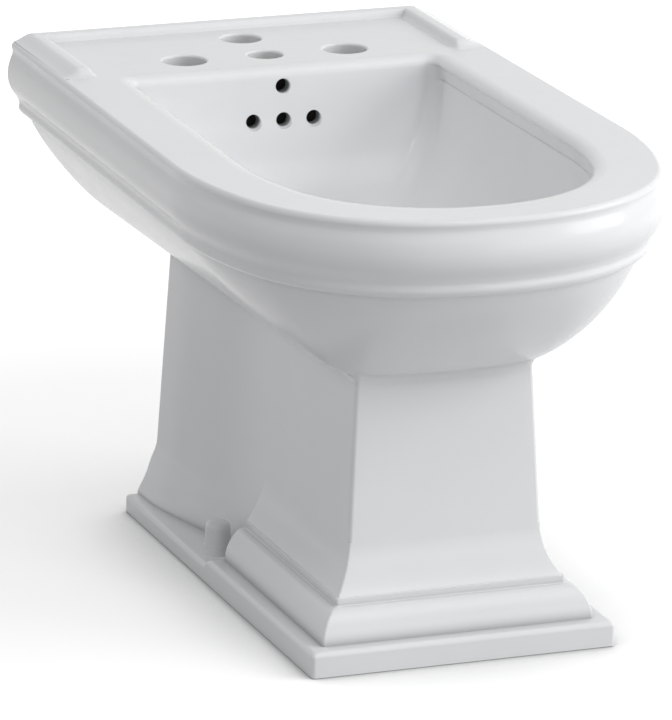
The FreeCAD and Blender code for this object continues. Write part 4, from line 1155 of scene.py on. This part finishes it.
def floor_material(stage):
    """A floor that is white to the camera and in reflections, keeps the lamps' shadow and adds a painted
    contact shadow near the bidet, and gives little light.
    """
    material, tree, shader = finish(stage, "studio_floor")
    feed(tree, shader, {"Specular IOR Level": 0.0})
    # Where the bidet closes the floor in, its glow fades: a painted contact shadow on top of the lamps' real
    # one
    near = node(tree, "ShaderNodeAmbientOcclusion", {"Distance": painted_shadow_reach}, samples=8)
    lift = ranged(tree, near.outputs["AO"], 0.0, near_light, *painted_shadow_openness)
    far = ranged(tree, vector_length(tree, own_place(tree)), 0.0, far_light, *far_distances)
    glow = node(tree, "ShaderNodeEmission", {"Strength": math_node(tree, "ADD", lift, far)})
    both = node(tree, "ShaderNodeAddShader", {0: shader.outputs["BSDF"], 1: glow.outputs["Emission"]})
    dull = node(tree, "ShaderNodeBsdfDiffuse", {"Color": (*floor_bounce, 1.0)})
    lit = node(tree, "ShaderNodeMixShader", {0: seen_directly(tree), 1: dull.outputs["BSDF"],
                                             2: both.outputs[0]})
    side = node(tree, "ShaderNodeNewGeometry").outputs["Backfacing"]
    clear = node(tree, "ShaderNodeBsdfTransparent")
    one_sided = node(tree, "ShaderNodeMixShader", {0: side, 1: lit.outputs[0], 2: clear.outputs[0]})
    end = next(item for item in tree.nodes if item.type == "OUTPUT_MATERIAL")
    feed(tree, end, {"Surface": one_sided.outputs[0]})
    return material


def studio_air(strength):
    """A world that is white to the camera and in reflections, and a soft even light elsewhere."""
    world = bpy.data.worlds.new("studio_air")
    world.use_nodes = True
    tree = world.node_tree
    feed(tree, tree.nodes["Background"], {"Color": (1.0, 1.0, 1.0, 1.0), "Strength": ranged(
        tree, seen_directly(tree), strength, 1.0, 0.0, 1.0)})
    return world


def soft_lamp(name, place, aim, size, power):
    data = bpy.data.lights.new(name, "AREA")
    data.shape = "RECTANGLE"
    data.size, data.size_y = size
    data.energy = power
    lamp = in_scene(name, data)
    lamp.location = place
    lamp.rotation_euler = (Vector(aim) - Vector(place)).to_track_quat("-Z", "Y").to_euler()


class BIDET_OT_stage(bpy.types.Operator):
    """Set the floor, the lamps and the camera"""

    bl_idname = "bidet.stage"
    bl_label = "Stage"

    def execute(self, context):
        scene = context.scene
        stage = scene.bidet_stage
        bm = bmesh.new()
        bmesh.ops.create_grid(bm, x_segments=4, y_segments=4, size=floor_reach)
        bmesh.ops.translate(bm, verts=bm.verts, vec=(0.0, 0.0, -floor_drop))
        mesh = mesh_of(bm, "studio_floor")
        mesh.materials.append(floor_material(stage))
        mesh.shade_smooth()
        in_scene("studio_floor", mesh)
        for name, settings in lamps.items():
            soft_lamp(name, *settings)
        scene.world = studio_air(air_light)

        data = bpy.data.cameras.new("photo_camera")
        data.lens = stage.lens
        data.sensor_width = sensor_width
        data.clip_start = clip_near
        data.clip_end = clip_far
        camera = in_scene("photo_camera", data)
        turn, rise, roll = (math.radians(value) for value in (stage.azimuth, stage.elevation, stage.roll))
        back = Vector((math.sin(turn) * math.cos(rise), -math.cos(turn) * math.cos(rise), math.sin(rise)))
        side = Vector((0.0, 0.0, 1.0)).cross(back).normalized()
        up = back.cross(side)
        right = side * math.cos(roll) + up * math.sin(roll)
        top = up * math.cos(roll) - side * math.sin(roll)
        facing = Matrix((right, top, back)).transposed().to_4x4()
        camera.matrix_world = Matrix.Translation(stage.place) @ facing
        scene.camera = camera
        scene.view_settings.view_transform = "Standard"
        return {"FINISHED"}


class BIDET_PT_panel(bpy.types.Panel):
    """The bidet's sizes, colours and steps"""

    bl_label = "Bidet"
    bl_idname = "BIDET_PT_panel"
    bl_space_type = "VIEW_3D"
    bl_region_type = "UI"
    bl_category = "Bidet"

    def draw(self, context):
        scene = context.scene
        for settings in (scene.bidet_sizes, scene.bidet_finish, scene.bidet_stage):
            column = self.layout.column(align=True)
            for item in settings.bl_rna.properties:
                if item.identifier not in ("rna_type", "name"):
                    column.prop(settings, item.identifier)
        for operator in operators:
            self.layout.operator(operator.bl_idname)


operators = (BIDET_OT_china, BIDET_OT_bolt_caps, BIDET_OT_stopper, BIDET_OT_fittings, BIDET_OT_stage)
settings_classes = (BidetSizes, BidetFinish, BidetStage)
classes = settings_classes + operators + (BIDET_PT_panel,)


def register():
    for item in classes:
        bpy.utils.register_class(item)
    bpy.types.Scene.bidet_sizes = bpy.props.PointerProperty(type=BidetSizes)
    bpy.types.Scene.bidet_finish = bpy.props.PointerProperty(type=BidetFinish)
    bpy.types.Scene.bidet_stage = bpy.props.PointerProperty(type=BidetStage)


def unregister():
    del bpy.types.Scene.bidet_stage
    del bpy.types.Scene.bidet_finish
    del bpy.types.Scene.bidet_sizes
    for item in reversed(classes):
        bpy.utils.unregister_class(item)


def main():
    register()
    bpy.ops.bidet.china()
    bpy.ops.bidet.bolt_caps()
    bpy.ops.bidet.stopper()
    bpy.ops.bidet.fittings()
    bpy.ops.bidet.stage()


if __name__ == "__main__":
    main()
